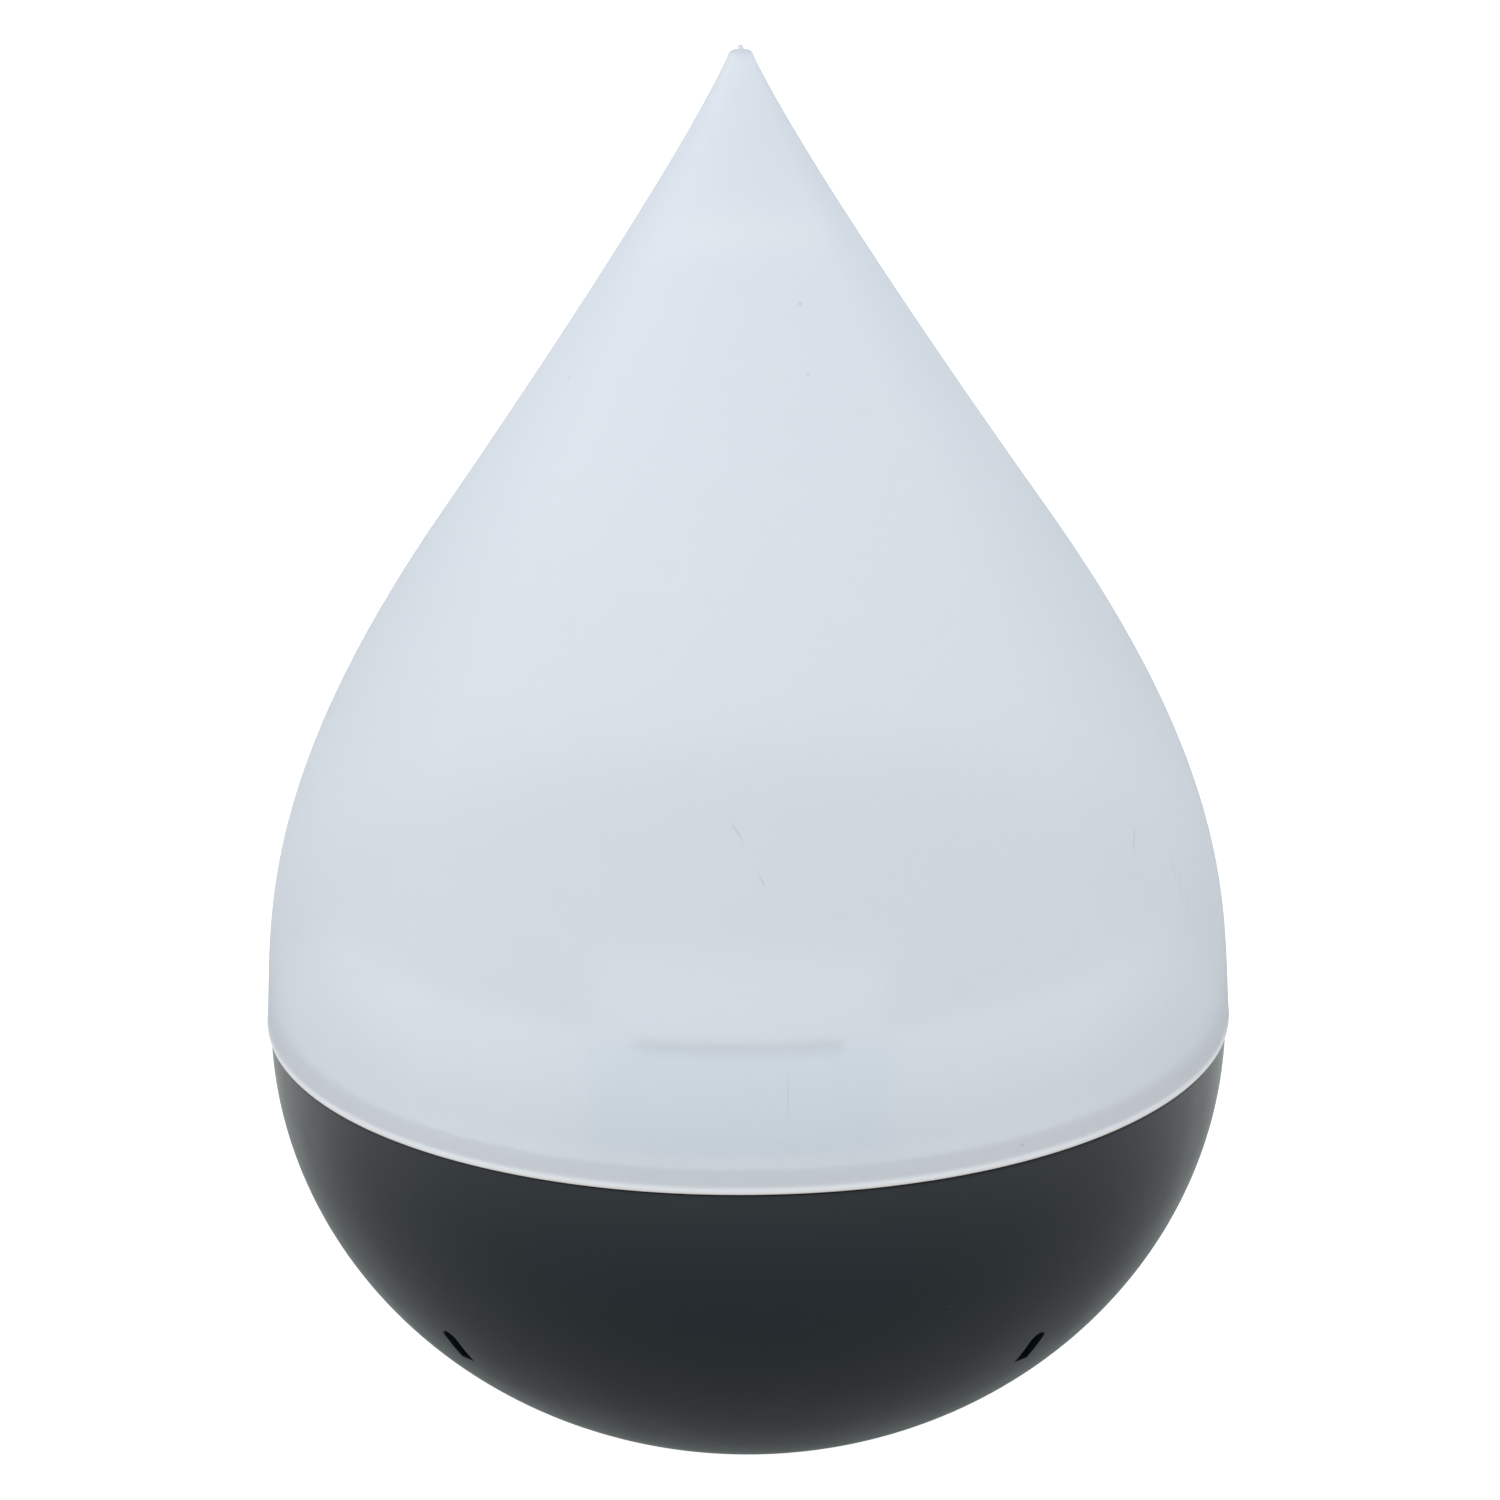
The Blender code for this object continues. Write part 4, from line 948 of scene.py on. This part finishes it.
def make_reservoir():
    outline = rounded([
        (0.0, TANK_INSIDE_Z), (77.4, TANK_INSIDE_Z, 4.0), (TANK_INSIDE_R, TANK_TOP_Z, 0.9),
        (TANK_R, TANK_TOP_Z, 0.9), (81.3, FLANGE_Z[1], 1.2), (FLANGE_R, FLANGE_Z[1], 0.8),
        (FLANGE_R, FLANGE_Z[0], 0.4), (81.2, FLANGE_Z[0], 0.5), (80.0, 56.0), (79.4, 51.0, 1.0),
        (78.0, TANK_FLOOR_Z, 0.8), (0.0, TANK_FLOOR_Z),
    ], steps=6)
    tank = solid("water_tank", turned(outline, LARGE))
    middle_r = (TANK_R + TANK_INSIDE_R) / 2 - 2.5
    duct = front_segment(middle_r, DUCT_HALF_WIDTH, DUCT_BACK_Y, 3.0)
    join(tank, prism(duct, TANK_FLOOR_Z + 1, DUCT_TOP_Z))
    passage = front_segment(76.8, DUCT_HALF_WIDTH - DUCT_WALL, DUCT_BACK_Y - DUCT_WALL, 1.5)
    cut(tank, prism(passage, TANK_INSIDE_Z, DUCT_TOP_Z + 20))
    pillars, bores = tank_pillars()
    join(tank, *pillars)
    front = front_segment(90.0, 29.0, -60.0, 0.2)
    opening = solid("tool_opening", prism(front, HOOD_BOTTOM_Z - GAP, TANK_TOP_Z + 5))
    cut(opening, drum(78.6, 80, 120, LARGE))
    hole = moved(drum(DUCT_HOLE_R, TANK_FLOOR_Z - 1, TANK_FLOOR_Z + 6, 64), shift(0, FAN_Y))
    piezo = turned([
        (0, 56), (PIEZO_HOLE_R + 4.5, 56), (PIEZO_HOLE_R, TANK_INSIDE_Z - 1.2), (PIEZO_HOLE_R, 48), (0, 48),
    ], 64)
    cut(tank, taken(opening), hole, piezo, *bores)
    soften(tank, 0.4, 2, 48)
    finish_piece(tank, "base", "tank_plastic", "reservoir", weighted=True)


def make_hood():
    """A cap over the duct with a rounded top and an air slot along the top of its front."""
    layers = [(HOOD_BOTTOM_Z, 0.0)]
    for k in range(9):
        angle = math.pi / 2 * k / 8
        layers.append((HOOD_TOP_Z - HOOD_EDGE * (1 - math.sin(angle)), HOOD_EDGE * (1 - math.cos(angle))))
    hood = solid("air_hood", loft(*[
        (front_segment(TANK_R - d, HOOD_HALF_WIDTH - d, HOOD_BACK_Y - d, 3.5 - d), z) for z, d in layers
    ]))
    inside = front_segment(TANK_R - HOOD_WALL, HOOD_HALF_WIDTH - HOOD_WALL, HOOD_BACK_Y - HOOD_WALL, 2.0)
    cut(hood, prism(inside, HOOD_BOTTOM_Z - 5, HOOD_TOP_Z - HOOD_WALL))
    slot_middle = sum(HOOD_SLOT_Z) / 2
    slot_half = (HOOD_SLOT_Z[1] - HOOD_SLOT_Z[0]) / 2
    slot = rectangle(-HOOD_SLOT_HALF_WIDTH, -slot_half, HOOD_SLOT_HALF_WIDTH, slot_half, slot_half * 0.9)
    cut(hood, moved(prism(slot, TANK_R - 12, TANK_R + 8), shift(0, 0, slot_middle), turn(90, "X")))
    soften(hood, 0.3, 2, 60)
    finish_piece(hood, "base", "hood_plastic", "duct_hood", weighted=True)


# ---------------------------------------------------------------- float


def make_float():
    low = TANK_INSIDE_Z + GAP
    groove, top = low + 11.0, low + 14.0
    place = shift(FLOAT_X, FLOAT_Y)
    body = rounded([
        (4.1, groove, 0.2), (7.4, groove, 0.2), (7.4, top, 0.3),
        (11.0, top, 1.6), (11.0, low, 1.6), (4.1, low, 0.4),
    ], closed=True)
    float_ring = solid("float_foam_ring", moved(turned(body, MEDIUM, ring=True), place))
    finish_piece(float_ring, "float_ring", "float_foam", "float")
    skirt, seat, crown = FLOAT_POST_TOP_Z - 3, FLOAT_POST_TOP_Z + GAP, FLOAT_POST_TOP_Z + 2.3
    cap = rounded([
        (0.0, crown), (6.5, crown, 1.6), (6.5, skirt, 0.4), (3.9, skirt, 0.3), (3.9, seat, 0.3), (0.0, seat),
    ])
    cap_piece = solid("float_stop", moved(turned(cap, MEDIUM), place))
    finish_piece(cap_piece, "base", "white_plastic", "float_cap")


# ---------------------------------------------------------------- back of the bowl


def make_button():
    """The button's cap is slightly domed, with a moulded power symbol."""
    cap = rounded([
        (0.0, 1.2), (2.0, 1.14), (4.0, 0.92), (BUTTON_R - 0.55, 0.6), (BUTTON_R, 0.1, 0.35),
        (BUTTON_R, -3.5), (7.5, -3.5, 0.2), (7.5, -4.9, 0.2), (2.0, -4.9), (2.0, -6.5, 0.2), (0.0, -6.5),
    ])
    button = solid("button_cap", turned(cap, 64))
    ring = arc(2.9, -55.0, 235.0, 36) + arc(2.4, 235.0, -55.0, 36)
    bar = rectangle(-0.27, -3.4, 0.27, -1.2, 0.15)
    join(button, prism(ring, 0.6, 1.42), prism(bar, 0.6, 1.42))
    button.data.transform(button_place())
    finish_piece(button, "button", "charcoal_plastic", "power_button")


def make_light_pipe():
    profile = rounded([
        (0.0, 0.5), (1.0, 0.42), (LIGHT_PIPE_R, 0.0), (LIGHT_PIPE_R, -9.4, 0.2), (0.0, -9.4),
    ])
    pipe = solid("indicator_lens", moved(turned(profile, 32), button_place(), shift(0, -LIGHT_PIPE_UP)))
    finish_piece(pipe, "base", "clear_plastic", "light_pipe")


def make_jack():
    place = back_place(JACK_POCKET_Y + GAP, JACK_Z)
    socket = rounded([
        (0.0, -8.0), (2.75, -8.0), (2.75, 1.5, 0.35), (5.8, 1.5, 0.5), (5.8, 0.0, 0.2),
        (JACK_THREAD_R, 0.0), (JACK_THREAD_R, -12.8, 0.3), (0.0, -12.8),
    ])
    body = solid("socket_body", moved(turned(socket, 64), place))
    finish_piece(body, "base", "black_plastic", "dc_jack")
    pin = rounded([(0.0, 0.6), (0.55, 0.55), (1.0, 0.1), (1.0, -7.9), (0.0, -7.9)])
    pin_piece = solid("socket_pin", moved(turned(pin, 32), place))
    finish_piece(pin_piece, "base", "steel", "jack_pin")
    sleeve = [(2.7, -0.6), (2.7, -7.9), (2.5, -7.9), (2.5, -0.4)]
    sleeve_piece = solid("socket_sleeve", moved(turned(sleeve, 48, ring=True), place))
    finish_piece(sleeve_piece, "base", "steel")


# ---------------------------------------------------------------- pieces kept from the frame


def dress_frame():
    """Gives each CAD piece the finish of its own material slot."""
    for piece in frame["record"]["subparts"]:
        for slot in frame["nodes"][piece["node"]].material_slots:
            slot.material = materials[piece["material_slot"]]


# ---------------------------------------------------------------- floor, light and camera


def light_table():
    """A pale table that glows, less so near the object, and that shows from above only."""
    made, tree, shader = start_material("light_table")
    pale = mixed(tree, noise(tree, 2.0, 2.0), (FLOOR_TONE * 0.97,) * 3, (FLOOR_TONE * 1.03,) * 3)
    tree.links.new(pale, shader.inputs["Base Color"])
    shader.inputs["Roughness"].default_value = 0.9
    shader.inputs["Specular IOR Level"].default_value = 0.0
    shader.inputs["Emission Color"].default_value = (1.0, 1.0, 1.0, 1.0)
    seen = tree.nodes.new("ShaderNodeLightPath").outputs["Is Camera Ray"]
    distance = tree.nodes.new("ShaderNodeVectorMath")
    distance.operation = "LENGTH"
    tree.links.new(place_of(tree), distance.inputs[0])
    away = distance.outputs["Value"]
    glow = ranged(tree, away, FLOOR_NEAR, FLOOR_FAR, FLOOR_NEAR_GLOW, FLOOR_FAR_GLOW, smooth=True)
    strength = calculated(tree, "MAXIMUM", glow, calculated(tree, "MULTIPLY", seen, FLOOR_SEEN))
    tree.links.new(strength, shader.inputs["Emission Strength"])
    below = tree.nodes.new("ShaderNodeNewGeometry").outputs["Backfacing"]
    hidden = tree.nodes.new("ShaderNodeBsdfTransparent").outputs["BSDF"]
    surfaced(tree, blended(tree, below, shader.outputs["BSDF"], hidden))
    return made


def make_floor():
    outline = rectangle(-FLOOR_HALF, -FLOOR_HALF, FLOOR_HALF, FLOOR_HALF)
    mesh = bpy.data.meshes.new("light_table")
    mesh.from_pydata([Vector((x, y, FLOOR_Z)) * MM for x, y in outline], [], [range(4)])
    mesh.materials.append(light_table())
    floor = bpy.data.objects.new("light_table", mesh)
    bpy.context.scene.collection.objects.link(floor)


def make_surround():
    """An even white surround, a little stronger from the left and from behind."""
    world = bpy.data.worlds.new("white_surround")
    bpy.context.scene.world = world
    world.use_nodes = True
    tree = world.node_tree
    where = tree.nodes.new("ShaderNodeTexCoord").outputs["Generated"]
    split = tree.nodes.new("ShaderNodeSeparateXYZ")
    tree.links.new(where, split.inputs["Vector"])
    side = ranged(tree, split.outputs["X"], -1.0, 1.0, WORLD_LEFT, WORLD_RIGHT)
    depth = ranged(tree, split.outputs["Y"], -1.0, 1.0, WORLD_FRONT, WORLD_BACK)
    rise = ranged(tree, split.outputs["Z"], 0.0, 0.9, 1.0, WORLD_UP)
    strength = calculated(tree, "MULTIPLY", calculated(tree, "MULTIPLY", side, depth), rise)
    background = tree.nodes["Background"]
    background.inputs["Color"].default_value = (1.0, 1.0, 1.0, 1.0)
    tree.links.new(strength, background.inputs["Strength"])


def make_camera():
    """A long lens that looks down on the front, levelled a touch to one side."""
    aim = Vector(CAMERA_AIM)
    eye = turn(CAMERA_AZIMUTH) @ Vector(CAMERA_EYE)
    camera = bpy.data.cameras.new("camera")
    camera.sensor_width = CAMERA_SENSOR
    camera.lens = CAMERA_LENS
    camera.clip_start, camera.clip_end = 0.05, 50.0
    obj = bpy.data.objects.new("camera", camera)
    bpy.context.scene.collection.objects.link(obj)
    level = (aim - eye).to_track_quat("-Z", "Y").to_matrix().to_4x4()
    small_turns = turn(CAMERA_PAN, "Y") @ turn(CAMERA_TILT, "X") @ turn(CAMERA_ROLL, "Z")
    obj.matrix_world = Matrix.Translation(eye) @ level @ small_turns
    bpy.context.scene.camera = obj


bpy.context.scene.view_settings.view_transform = "Standard"
materials = make_materials()
make_cover()
make_bowl()
make_feet()
make_body_screws()
make_reservoir()
make_hood()
make_float()
make_button()
make_light_pipe()
make_jack()
dress_frame()
make_floor()
make_surround()
make_camera()
